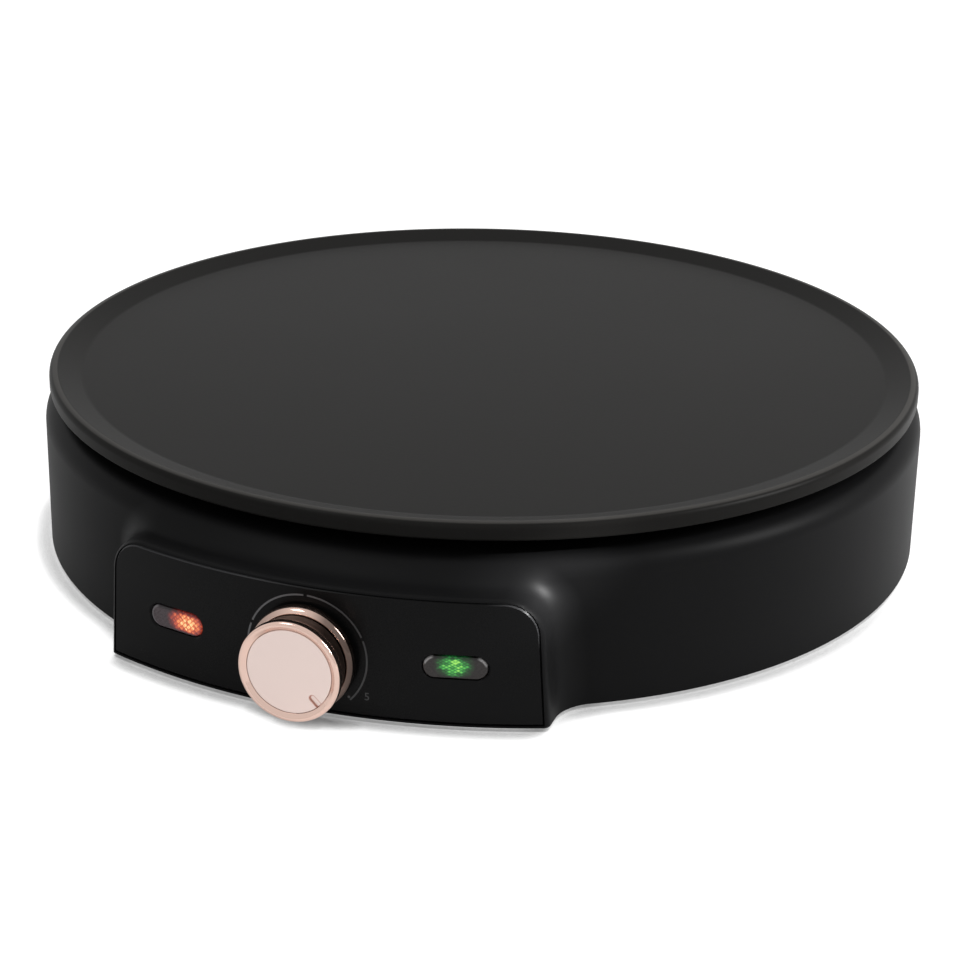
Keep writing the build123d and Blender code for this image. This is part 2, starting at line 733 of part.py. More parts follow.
def is_housing_joint(edge):
    """True for the edges where the housing meets the drum."""
    middle = edge @ 0.5
    radius = sqrt(middle.X ** 2 + middle.Y ** 2)
    near = abs(middle.X) < HOUSING_HALF_W + OVERCUT and middle.Y < HOUSING_BACK_Y
    on_wall = SHELL_R - SHOULDER_R < radius < SHELL_R + EDGE_TOLERANCE
    return near and on_wall and middle.Z > EDGE_Z + OVERCUT


def is_housing_front(edge):
    """True for the front edges of the housing, without its lower one."""
    middle = edge @ 0.5
    radius = sqrt(middle.X ** 2 + (middle.Y - FACE_CENTRE_Y) ** 2)
    on_front = middle.Y < HOUSING_BACK_Y and abs(radius - FACE_R) < EDGE_TOLERANCE
    return on_front and middle.Z > EDGE_Z + OVERCUT


def lamp_hole(depth):
    opening = stadium(LENS_L + 2 * LAMP_HOLE_GAP, LENS_H + 2 * LAMP_HOLE_GAP)
    return slab(opening, -depth, CUT_REACH)


def panel_cuts(depth):
    """Openings through the panel and the wall behind it."""
    cuts = on_face(LAMP_ANGLE, LAMP_Z, lamp_hole(depth))
    cuts += on_face(-LAMP_ANGLE, LAMP_Z, lamp_hole(depth))
    cuts += on_face(0, KNOB_Z, slab(Circle(BUSH_D / 2 + FIT_CLEAR), -depth, CUT_REACH))
    for x in thermostat_screw_xs():
        cuts += on_face(0, KNOB_Z, Pos(x, 0, 0) * slab(Circle(M3_D / 2 + SCREW_CLEAR), -depth, CUT_REACH))
    return cuts


def thermostat_screw_xs():
    return (-THERMOSTAT_SCREW_PITCH / 2, THERMOSTAT_SCREW_PITCH / 2)


def post_points():
    return [polar(POST_CIRCLE_R, a) for a in ring_of(POST_COUNT)]


def lamp_ear_x():
    """Distance of a lamp box's screws from the lamp's middle."""
    return LENS_L / 2 + LENS_FLANGE + FIT_CLEAR + LAMP_BOX_WALL + LAMP_EAR / 2


def lamp_screw_holes():
    holes = Part()
    for angle in (-LAMP_ANGLE, LAMP_ANGLE):
        for x in (-lamp_ear_x(), lamp_ear_x()):
            outline = Pos(x, 0) * Circle(LAMP_SCREW_D / 2 + THREAD_CLEAR)
            hole = slab(outline, -PAD_DEPTH - OVERCUT, -PAD_DEPTH + LAMP_SCREW_DEPTH)
            holes += on_face(angle, LAMP_Z, hole)
    return holes


def base_shell():
    outer = drum_solid() + housing_block(0, 0, EDGE_Z)
    outer -= rod(2 * WELL_R, WELL_Z, SHELL_TOP_Z + OVERCUT)
    outer = fillet(outer.edges().filter_by(is_housing_joint), HOUSING_BLEND)
    outer = fillet(outer.edges().filter_by(is_housing_front), HOUSING_EDGE)
    shell = outer - drum_cavity() - housing_block(PANEL_T + WALL, WALL, EDGE_Z - OVERCUT)
    well_floor = rod(2 * (WELL_R + WALL), FLOOR_UNDER_Z, WELL_Z)
    well_wall = rod(2 * (WELL_R + WALL), FLOOR_UNDER_Z, DECK_UNDER_Z + OVERCUT)
    shell += well_floor + (well_wall - rod(2 * WELL_R, FLOOR_UNDER_Z, SHELL_TOP_Z))
    recess = housing_prism(PANEL_MARGIN, EDGE_Z + PANEL_LEDGE) - face_cylinder(PANEL_T)
    shell -= recess
    # flat seats inside the curved front
    for angle, width, height, z in (
        (0, THERMOSTAT_PAD_W, THERMOSTAT_PAD_H, KNOB_Z),
        (-LAMP_ANGLE, LAMP_PAD_W, LAMP_PAD_H, LAMP_Z),
        (LAMP_ANGLE, LAMP_PAD_W, LAMP_PAD_H, LAMP_Z),
    ):
        pad = on_face(angle, z, slab(Rectangle(width, height), -PAD_DEPTH, -PANEL_T))
        shell += pad & face_cylinder(PANEL_T)
    shell -= panel_cuts(PAD_DEPTH + OVERCUT)
    shell -= lamp_screw_holes()
    # reflector seats with the plate screws' holes
    for point in pillar_points():
        shell += rod(SEAT_D, WELL_Z, REFLECTOR_Z, point)
        shell -= rod(M5_D + 2 * SCREW_CLEAR, 0, REFLECTOR_Z + OVERCUT, point)
    for point in leg_points():
        shell -= rod(BEAD_D + 2 * FIT_CLEAR, FLOOR_UNDER_Z - OVERCUT, WELL_Z + OVERCUT, point)
    for point in passages():
        shell -= rod(WIRE_PASS_D, FLOOR_UNDER_Z - OVERCUT, WELL_Z + OVERCUT, point)
    earth = (EARTH_X, EARTH_Y)
    shell += rod(SEAT_D, WELL_Z, REFLECTOR_Z, earth)
    shell -= rod(EARTH_D + 2 * SCREW_CLEAR, FLOOR_UNDER_Z - OVERCUT, REFLECTOR_Z + OVERCUT, earth)
    block_hole_top = FLOOR_UNDER_Z + BLOCK_SCREW_DEPTH + SCREW_CLEAR
    shell -= rod(BLOCK_SCREW_D + 2 * THREAD_CLEAR, FLOOR_UNDER_Z - OVERCUT, block_hole_top, (0, BLOCK_Y))
    # posts for the bottom cover
    for point in post_points():
        shell += rod(POST_D, COVER_TOP_Z, DECK_UNDER_Z + OVERCUT, point)
        hole_top = COVER_TOP_Z + COVER_SCREW_DEPTH + HOLE_EXTRA
        shell -= rod(COVER_SCREW_D + 2 * THREAD_CLEAR, COVER_TOP_Z - OVERCUT, hole_top, point)
    # flat seats for the cord gland, inside and outside the wall
    shell += along_y(GLAND_SEAT_D, gland_inner_y(), gland_outer_y())
    hole_d = GLAND_BODY_D + 2 * FIT_CLEAR
    shell -= along_y(hole_d, gland_inner_y() - OVERCUT, gland_outer_y() + OVERCUT)
    return shell


def gland_outer_y():
    return SHELL_R + GLAND_SEAT_OUT


def gland_inner_y():
    return gland_outer_y() - GLAND_SEAT_OUT - WALL - GLAND_SEAT_IN


def control_panel():
    panel = housing_prism(PANEL_MARGIN + PANEL_GROOVE, EDGE_Z + PANEL_LEDGE + PANEL_GROOVE)
    panel = (panel & face_cylinder(0)) - face_cylinder(PANEL_T)
    panel -= panel_cuts(PAD_DEPTH + OVERCUT)
    for x in thermostat_screw_xs():
        depth = (M3_HEAD_D - M3_D) / 2
        cone = Cone(M3_D / 2 + SCREW_CLEAR, M3_HEAD_D / 2 + SCREW_CLEAR, depth)
        head_top = -M3_HEAD_SINK - panel_sag(x)
        panel -= on_face(0, KNOB_Z, Pos(x, 0, head_top - depth / 2) * cone)
        above = Pos(x, 0) * Circle(M3_HEAD_D / 2 + SCREW_CLEAR)
        panel -= on_face(0, KNOB_Z, slab(above, head_top, CUT_REACH))
    return panel


def panel_sag(x):
    """How far the curved front falls back at a distance from the middle."""
    return FACE_R - sqrt(FACE_R ** 2 - x ** 2)


# ---------------------------------------------------------------------------------------------
# Controls
# ---------------------------------------------------------------------------------------------

def thermostat_screws():
    screws = []
    depth = (M3_HEAD_D - M3_D) / 2
    for x in thermostat_screw_xs():
        top = -M3_HEAD_SINK - panel_sag(x)
        head = Pos(x, 0, top - depth / 2) * Cone(M3_D / 2, M3_HEAD_D / 2, depth)
        shank = Pos(x, 0, 0) * slab(Circle(M3_D / 2), -PAD_DEPTH - BRACKET_T - M3_BEHIND, top - depth)
        screws.append(on_face(0, KNOB_Z, head + shank))
    return group(screws)


def thermostat_bracket():
    plate = slab(Rectangle(BRACKET_W, BRACKET_H), -PAD_DEPTH - BRACKET_T, -PAD_DEPTH)
    plate -= slab(Circle(BUSH_D / 2 + FIT_CLEAR), -PAD_DEPTH - BRACKET_T - OVERCUT, 0)
    for x in thermostat_screw_xs():
        hole = slab(Circle(M3_D / 2 + THREAD_CLEAR), -PAD_DEPTH - BRACKET_T - OVERCUT, 0)
        plate -= Pos(x, 0, 0) * hole
    return on_face(0, KNOB_Z, plate)


def thermostat_body():
    front = -PAD_DEPTH - BRACKET_T
    body = slab(Rectangle(THERMOSTAT_W, THERMOSTAT_H), front - THERMOSTAT_L, front)
    body += slab(Circle(BUSH_D / 2), front - OVERCUT, -PANEL_T - BUSH_SHORT)
    body -= slab(Circle(SHAFT_D / 2 + RUN_CLEAR), front - SHAFT_IN - SHAFT_END_GAP, 0)
    tab = slab(Rectangle(TAB_T, TAB_W), front - THERMOSTAT_L - TAB_L, front - THERMOSTAT_L + OVERCUT)
    for x in (-TAB_PITCH / 2, TAB_PITCH / 2):
        body += Pos(x, -TAB_DROP, 0) * tab
    return on_face(0, KNOB_Z, body)


def thermostat_shaft():
    inner = -PAD_DEPTH - BRACKET_T - SHAFT_IN
    outer = KNOB_GAP + KNOB_BORE_DEPTH - SHAFT_END_GAP
    shaft = slab(Circle(SHAFT_D / 2), inner, outer)
    cut = Pos(0, SHAFT_D / 2 - SHAFT_FLAT / 2) * Rectangle(SHAFT_D, SHAFT_FLAT)
    shaft -= slab(cut, KNOB_GAP - FLAT_EARLY, outer + OVERCUT)
    return on_face(0, KNOB_Z, shaft)


def pointer_slot(depth_low, depth_high):
    """Notch from the disc's edge inwards, at the pointer's angle."""
    outer = DISC_R + POINTER_W
    length = outer - POINTER_IN
    slot = Pos(0, (outer + POINTER_IN) / 2) * Rot(0, 0, 90) * SlotOverall(length + POINTER_W, POINTER_W)
    return slab(Rot(0, 0, -POINTER_ANGLE) * slot, depth_low, depth_high)


def knob_body():
    flange_front = KNOB_GAP + FLANGE_T
    head_back = KNOB_REACH - HEAD_T
    outline = [
        (0, KNOB_GAP),
        (FLANGE_R, KNOB_GAP),
        (FLANGE_R, flange_front),
        (NECK_R, flange_front - FLANGE_DISH),
        (NECK_R, head_back + HEAD_DISH),
        (HEAD_R, head_back),
        (HEAD_R, KNOB_REACH),
        (DISC_R + FIT_CLEAR / 2, KNOB_REACH),
        (DISC_R + FIT_CLEAR / 2, KNOB_REACH - DISC_SINK - DISC_T),
        (0, KNOB_REACH - DISC_SINK - DISC_T),
    ]
    rounds = [
        (1, FLANGE_ROUND), (2, FLANGE_ROUND), (3, NECK_ROUND), (4, NECK_ROUND),
        (5, HEAD_ROUND), (6, HEAD_ROUND), (7, RIM_BREAK),
    ]
    body = turned(outline, rounds)
    bore = slab(Circle(SHAFT_D / 2 + CLIP_GAP), KNOB_GAP - OVERCUT, KNOB_GAP + KNOB_BORE_DEPTH)
    flat_y = SHAFT_D / 2 - SHAFT_FLAT + CLIP_T + CLIP_GAP
    keep = Pos(0, flat_y + SHAFT_D / 2) * Rectangle(2 * SHAFT_D, SHAFT_D)
    body -= bore - slab(keep, 0, KNOB_REACH)
    return on_face(0, KNOB_Z, body)


def knob_disc():
    face = KNOB_REACH - DISC_SINK
    disc = slab(Circle(DISC_R), face - DISC_T, face)
    disc -= pointer_slot(face - POINTER_DEPTH, face + OVERCUT)
    return on_face(0, KNOB_Z, disc)


def knob_clip():
    flat_y = SHAFT_D / 2 - SHAFT_FLAT
    strip = Pos(0, flat_y + CLIP_T / 2) * Rectangle(CLIP_W, CLIP_T)
    start = KNOB_GAP + CLIP_IN
    return on_face(0, KNOB_Z, slab(strip, start, start + CLIP_L))


def lens(angle):
    body = slab(stadium(LENS_L, LENS_H), -PAD_DEPTH, -LENS_SINK)
    body = fillet(body.faces().sort_by(Axis.Z)[-1].edges(), LENS_ROUND)
    flange = stadium(LENS_L + 2 * LENS_FLANGE, LENS_H + 2 * LENS_FLANGE)
    body += slab(flange, -PAD_DEPTH - LENS_FLANGE_T, -PAD_DEPTH)
    return on_face(angle, LAMP_Z, body)


def lamp_housing(angle):
    inner_l = LENS_L + 2 * LENS_FLANGE + 2 * FIT_CLEAR
    inner_h = LENS_H + 2 * LENS_FLANGE + 2 * FIT_CLEAR
    back = -PAD_DEPTH - LAMP_BOX_DEPTH
    outer_l = inner_l + 2 * LAMP_BOX_WALL
    outer_h = inner_h + 2 * LAMP_BOX_WALL
    body = slab(Rectangle(outer_l, outer_h), back, -PAD_DEPTH)
    ears = Rectangle(outer_l + 2 * LAMP_EAR, LAMP_EAR_H)
    body += slab(ears, -PAD_DEPTH - LAMP_EAR_T, -PAD_DEPTH)
    body -= slab(stadium(inner_l, inner_h), back + LAMP_BOX_WALL, -PAD_DEPTH + OVERCUT)
    body -= slab(Circle(BULB_D / 2 + FIT_CLEAR), back - OVERCUT, 0)
    for x in (-lamp_ear_x(), lamp_ear_x()):
        body -= Pos(x, 0, 0) * slab(Circle(LAMP_SCREW_D / 2 + SCREW_CLEAR), back, 0)
    return on_face(angle, LAMP_Z, body)


def lamp_screws():
    screws = []
    seat = -PAD_DEPTH - LAMP_EAR_T
    for angle in (-LAMP_ANGLE, LAMP_ANGLE):
        for x in (-lamp_ear_x(), lamp_ear_x()):
            screw = slab(Circle(LAMP_HEAD_D / 2), seat - LAMP_HEAD_H, seat)
            screw += slab(Circle(LAMP_SCREW_D / 2), seat, -PAD_DEPTH + LAMP_SCREW_DEPTH - SCREW_CLEAR)
            screws.append(on_face(angle, LAMP_Z, Pos(x, 0, 0) * screw))
    return group(screws)


def bulb_front():
    return -PAD_DEPTH - LENS_FLANGE_T - BULB_LENS_GAP


def lamp_bulb(angle):
    glass = slab(Circle(BULB_D / 2), bulb_front() - BULB_L, bulb_front())
    glass = fillet(glass.faces().sort_by(Axis.Z)[-1].edges(), BULB_D / 2 - BULB_TIP)
    lead = slab(Circle(BULB_LEAD_D / 2), bulb_front() - BULB_L - BULB_LEAD_L, bulb_front() - BULB_L + OVERCUT)
    for x in (-BULB_LEAD_PITCH / 2, BULB_LEAD_PITCH / 2):
        glass += Pos(x, 0, 0) * lead
    return on_face(angle, LAMP_Z, glass)


# ---------------------------------------------------------------------------------------------
# Underside and supply
# ---------------------------------------------------------------------------------------------

def foot_points():
    return [polar(FOOT_CIRCLE_R, a) for a in ring_of(FOOT_COUNT, FOOT_FIRST)]


def bottom_cover():
    drum_r = SHELL_R - WALL - FIT_CLEAR
    cover = rod(2 * drum_r, COVER_Z, COVER_TOP_Z)
    inside = housing_block(PANEL_T + WALL + FIT_CLEAR, WALL + FIT_CLEAR, EDGE_Z)
    cover += inside & block(4 * PLATE_R, 4 * PLATE_R, COVER_Z, COVER_TOP_Z)
    for point in post_points():
        cover -= rod(COVER_SCREW_D + 2 * SCREW_CLEAR, 0, COVER_TOP_Z + OVERCUT, point)
    for point in foot_points():
        cover -= rod(FOOT_STEM_D + 2 * FIT_CLEAR, 0, COVER_TOP_Z + OVERCUT, point)
    for ring in range(VENT_RINGS):
        middle_r = FOOT_CIRCLE_R - VENT_FEET - VENT_L / 2 - ring * (VENT_L + VENT_SPACE)
        for angle in ring_of(VENT_COUNT, 180.0 / VENT_COUNT):
            slot = Pos(*polar(middle_r, angle)) * Rot(0, 0, angle) * SlotOverall(VENT_L, VENT_W)
            cover -= slab(slot, 0, COVER_TOP_Z + OVERCUT)
    return cover


def cover_screws():
    screws = []
    for point in post_points():
        screw = rod(COVER_HEAD_D, COVER_Z - COVER_HEAD_H, COVER_Z, point)
        screws.append(screw + rod(COVER_SCREW_D, COVER_Z, COVER_TOP_Z + COVER_SCREW_DEPTH, point))
    return group(screws)


def rubber_feet():
    feet = []
    for point in foot_points():
        pad = fillet(rod(FOOT_D, 0, COVER_Z).edges().sort_by(Axis.Z)[0], FOOT_ROUND)
        foot = Pos(point[0], point[1], 0) * pad
        foot += rod(FOOT_STEM_D, COVER_Z - OVERCUT, COVER_TOP_Z + OVERCUT, point)
        foot += rod(FOOT_BARB_D, COVER_TOP_Z, COVER_TOP_Z + FOOT_BARB_H, point)
        feet.append(foot)
    return group(feet)


def along_y(diameter, y_from, y_to, x=0.0, z=GLAND_Z):
    """Cylinder along Y between two places."""
    start = Plane(origin=(x, y_from, z), x_dir=(1, 0, 0), z_dir=(0, 1, 0))
    return extrude(start * Circle(diameter / 2), y_to - y_from)


def cord_gland():
    tail_y = gland_inner_y() - GLAND_NUT_T - GLAND_TAIL
    front_y = gland_outer_y() + GLAND_FLANGE_T
    gland = along_y(GLAND_BODY_D, tail_y, front_y)
    flange = along_y(GLAND_FLANGE_D, gland_outer_y(), front_y)
    gland += fillet(flange.edges().sort_by(Axis.Y)[-1], GLAND_ROUND)
    return gland - along_y(GLAND_BORE_D, tail_y - OVERCUT, front_y + OVERCUT)


def gland_nut():
    outline = RegularPolygon(GLAND_NUT_D / 2, 6)
    start = Plane(origin=(0, gland_inner_y() - GLAND_NUT_T, GLAND_Z), x_dir=(1, 0, 0), z_dir=(0, 1, 0))
    nut = extrude(start * outline, GLAND_NUT_T)
    return nut - along_y(GLAND_BODY_D + 2 * THREAD_CLEAR, 0, gland_inner_y() + OVERCUT)


def block_way_xs():
    pitch = BLOCK_W / BLOCK_WAYS
    return [pitch * (i - (BLOCK_WAYS - 1) / 2) for i in range(BLOCK_WAYS)]


def terminal_block():
    bottom = FLOOR_UNDER_Z - BLOCK_H
    body = block(BLOCK_W, BLOCK_L, bottom, FLOOR_UNDER_Z, (0, BLOCK_Y))
    for x in block_way_xs():
        if abs(x) > BLOCK_WAY_D / 2:
            body -= rod(BLOCK_WAY_D, bottom - OVERCUT, bottom + BLOCK_WAY_DEPTH, (x, BLOCK_Y))
    body -= rod(BLOCK_SCREW_D + 2 * SCREW_CLEAR, bottom - OVERCUT, FLOOR_UNDER_Z + OVERCUT, (0, BLOCK_Y))
    return body


def terminal_block_screw():
    bottom = FLOOR_UNDER_Z - BLOCK_H
    screw = rod(BLOCK_HEAD_D, bottom - BLOCK_HEAD_H, bottom, (0, BLOCK_Y))
    return screw + rod(BLOCK_SCREW_D, bottom, FLOOR_UNDER_Z + BLOCK_SCREW_DEPTH, (0, BLOCK_Y))


def earth_screw():
    """Binds the earth lug, the well's floor and the reflector, with a nut above."""
    place = (EARTH_X, EARTH_Y)
    seat = FLOOR_UNDER_Z - EARTH_LUG_T
    top = REFLECTOR_Z + REFLECTOR_T
    screw = rod(EARTH_HEAD_D, seat - EARTH_HEAD_H, seat, place)
    screw += rod(EARTH_D, seat, top + EARTH_NUT_H + EARTH_TIP, place)
    return screw + rod(EARTH_HEAD_D, top, top + EARTH_NUT_H, place)


def earth_lug():
    place = (EARTH_X, EARTH_Y)
    low = FLOOR_UNDER_Z - EARTH_LUG_T
    lug = rod(EARTH_LUG_D, low, FLOOR_UNDER_Z, place)
    lug += block(EARTH_TAIL_L, EARTH_TAIL_W, low, FLOOR_UNDER_Z, (EARTH_X + EARTH_TAIL_L / 2, EARTH_Y))
    return lug - rod(EARTH_D + 2 * SCREW_CLEAR, 0, WELL_Z, place)


def wire_routes():
    """Straight runs of each supply wire, from the block to what it feeds."""
    block_front = BLOCK_Y - BLOCK_L / 2
    way = block_way_xs()[-1]
    wire_z = FLOOR_UNDER_Z - WIRE_DROP
    low_z = wire_z - TIER_DROP
    left, right = leg_points()
    tab_y = PAD_Y + BRACKET_T + THERMOSTAT_L + TAB_L
    tab_z = KNOB_Z - TAB_DROP
    half_tab = TAB_PITCH / 2
    lug_z = FLOOR_UNDER_Z - EARTH_LUG_T - WIRE_D / 2
    return {
        "wire_live": [
            (way, block_front, wire_z),
            (way, block_front - LIVE_START, wire_z),
            (LIVE_SIDE_X, LIVE_SIDE_Y, tab_z),
            (right[0] + LIVE_PAST_X, right[1] + LIVE_PAST_Y, tab_z),
            (half_tab, tab_y + LIVE_END, tab_z),
            (half_tab, tab_y, tab_z),
        ],
        "wire_heater": [
            (-half_tab, tab_y, tab_z),
            (-half_tab, tab_y + HEATER_START, tab_z),
            (left[0], left[1] - HEATER_END, low_z),
            (left[0], left[1] - TAG_T / 2 - TOUCH_CLEAR, low_z),
        ],
        "wire_earth": [
            (-way, block_front, wire_z),
            (-way, EARTH_Y + EARTH_TURN, wire_z),
            (EARTH_X + EARTH_TAIL_L + EARTH_END, EARTH_Y, lug_z),
            (EARTH_X + EARTH_TAIL_L / 2, EARTH_Y, lug_z),
        ],
    }


def lamp_wires():
    """One lead from each lamp's bulb to the thermostat's side."""
    wires = []
    lead_end = bulb_front() - BULB_L - BULB_LEAD_L
    for side in (-1, 1):
        plane = face_plane(side * LAMP_ANGLE, LAMP_Z)
        start = plane.from_local_coords((-side * BULB_LEAD_PITCH / 2, 0, lead_end))
        back = plane.from_local_coords((-side * BULB_LEAD_PITCH / 2, 0, lead_end - LAMP_WIRE_START))
        end_y = PAD_Y + BRACKET_T + THERMOSTAT_L - LAMP_WIRE_IN
        end = (side * (THERMOSTAT_W / 2), end_y, LAMP_Z)
        near = (side * (THERMOSTAT_W / 2 + LAMP_WIRE_SIDE), end_y, LAMP_Z)
        points = [tuple(start), tuple(back), near, end]
        wires.append(tube(LAMP_WIRE_D, points, LAMP_WIRE_BEND))
    return group(wires)


# ---------------------------------------------------------------------------------------------
# Nodes
# ---------------------------------------------------------------------------------------------

def build():
    nodes = {
        "cooking_plate": cooking_plate(),
        "heating_element": heating_element(),
        "terminal_beads": terminal_beads(),
        "terminal_tags": terminal_tags(),
        "element_straps": element_straps(),
        "strap_screws": strap_screws(),
        "heat_reflector": heat_reflector(),
        "plate_screws": plate_screws(),
        "plate_washers": plate_washers(),
        "sensor_bulb": sensor_bulb(),
        "capillary_tube": tube(CAPILLARY_D, sensor_path(), CAPILLARY_BEND),
        "sensor_clip": holder(holder_points()["sensor"][1], SENSOR_D, SENSOR_Y, SENSOR_Z),
        "sensor_clip_screw": holder_screw(holder_points()["sensor"][1], SENSOR_D),
        "thermal_fuse": thermal_fuse(),
        "fuse_clip": holder(holder_points()["fuse"][1], FUSE_D, FUSE_Y, FUSE_Z),
        "fuse_clip_screw": holder_screw(holder_points()["fuse"][1], FUSE_D),
        "base_shell": base_shell(),
        "control_panel": control_panel(),
        "thermostat_screws": thermostat_screws(),
        "thermostat_bracket": thermostat_bracket(),
        "thermostat_body": thermostat_body(),
        "thermostat_shaft": thermostat_shaft(),
        "knob_body": knob_body(),
        "knob_disc": knob_disc(),
        "knob_clip": knob_clip(),
        "red_lens": lens(-LAMP_ANGLE),
        "green_lens": lens(LAMP_ANGLE),
        "red_lamp_housing": lamp_housing(-LAMP_ANGLE),
        "green_lamp_housing": lamp_housing(LAMP_ANGLE),
        "red_lamp_bulb": lamp_bulb(-LAMP_ANGLE),
        "green_lamp_bulb": lamp_bulb(LAMP_ANGLE),
        "lamp_screws": lamp_screws(),
        "lamp_wires": lamp_wires(),
        "bottom_cover": bottom_cover(),
        "cover_screws": cover_screws(),
        "rubber_feet": rubber_feet(),
        "cord_gland": cord_gland(),
        "gland_nut": gland_nut(),
        "terminal_block": terminal_block(),
        "terminal_block_screw": terminal_block_screw(),
        "earth_screw": earth_screw(),
        "earth_lug": earth_lug(),
    }
    for name, route in wire_routes().items():
        nodes[name] = tube(WIRE_D, route, WIRE_BEND)
    to_block, to_element = fuse_paths()
    nodes["wire_neutral"] = tube(WIRE_D, to_block, WIRE_BEND)
    nodes["wire_fuse"] = tube(WIRE_D, to_element, WIRE_BEND)
    return nodes


os.makedirs("parts", exist_ok=True)
for node_name, solid in build().items():
    export_step(solid, f"parts/{node_name}.step")
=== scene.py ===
import json
import math
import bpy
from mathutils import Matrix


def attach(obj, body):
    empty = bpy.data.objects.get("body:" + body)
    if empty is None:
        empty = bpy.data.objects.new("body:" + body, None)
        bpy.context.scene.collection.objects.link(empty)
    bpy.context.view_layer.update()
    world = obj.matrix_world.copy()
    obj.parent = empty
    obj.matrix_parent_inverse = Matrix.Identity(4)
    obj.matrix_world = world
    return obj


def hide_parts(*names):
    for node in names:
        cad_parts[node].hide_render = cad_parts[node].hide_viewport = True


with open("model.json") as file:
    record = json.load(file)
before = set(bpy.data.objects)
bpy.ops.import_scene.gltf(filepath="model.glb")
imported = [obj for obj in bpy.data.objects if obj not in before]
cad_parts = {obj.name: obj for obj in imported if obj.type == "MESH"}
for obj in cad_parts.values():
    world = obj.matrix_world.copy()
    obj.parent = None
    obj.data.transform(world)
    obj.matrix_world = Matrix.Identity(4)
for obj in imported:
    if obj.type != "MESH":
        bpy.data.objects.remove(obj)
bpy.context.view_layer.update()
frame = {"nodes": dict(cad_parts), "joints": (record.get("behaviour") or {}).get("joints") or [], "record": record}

from types import SimpleNamespace

import bmesh
import bpy
from bpy.props import FloatProperty, FloatVectorProperty, PointerProperty
from mathutils import Matrix, Vector

bl_info = {
    "name": "Crepe Maker Finish",
    "version": (1, 0, 0),
    "blender": (4, 5, 0),
    "location": "View3D > Sidebar > Crepe Maker",
    "description": "Finishes, dial print, lamps and studio stage of an electric crepe maker",
    "category": "Object",
}

NODES = frame["nodes"]
SLOT_OF = {part["node"]: part["material_slot"] for part in frame["record"]["subparts"]}
MM = 0.001
KNOB_AXIS = Vector(frame["joints"][0]["pos_m"]) / MM
KNOB_PLACE = Matrix.Translation(KNOB_AXIS) @ Matrix.Rotation(math.pi / 2, 4, "X")
CHAMFER = "chamfer"             # attribute of the panel's chamfered faces
NEAR = 1e-4                     # mm, within which points are one
HAIR = 0.01                     # mm, left between two rounds that would meet
BITE = 0.5                      # mm, by which a pillar runs into what carries it
SLOT_STEPS = 24                 # faces round each end of a slot


# Shaders

def operation(kind, reflected=False):
    """Method of a signal that adds a Math node of a kind."""
    def method(self, other=0.0):
        values = (other, self) if reflected else (self, other)
        return self.finish.add("ShaderNodeMath", {"operation": kind}, dict(enumerate(values)))
    return method


class Signal:
    """A shader socket that takes part in arithmetic; every operation adds one Math node."""

    def __init__(self, finish, socket):
        self.finish, self.socket = finish, socket

    __add__ = __radd__ = operation("ADD")
    __mul__ = __rmul__ = operation("MULTIPLY")
    __sub__, __rsub__ = operation("SUBTRACT"), operation("SUBTRACT", reflected=True)
    __truediv__, __pow__, __abs__ = operation("DIVIDE"), operation("POWER"), operation("ABSOLUTE")
    fraction, whole, larger = operation("FRACT"), operation("FLOOR"), operation("MAXIMUM")


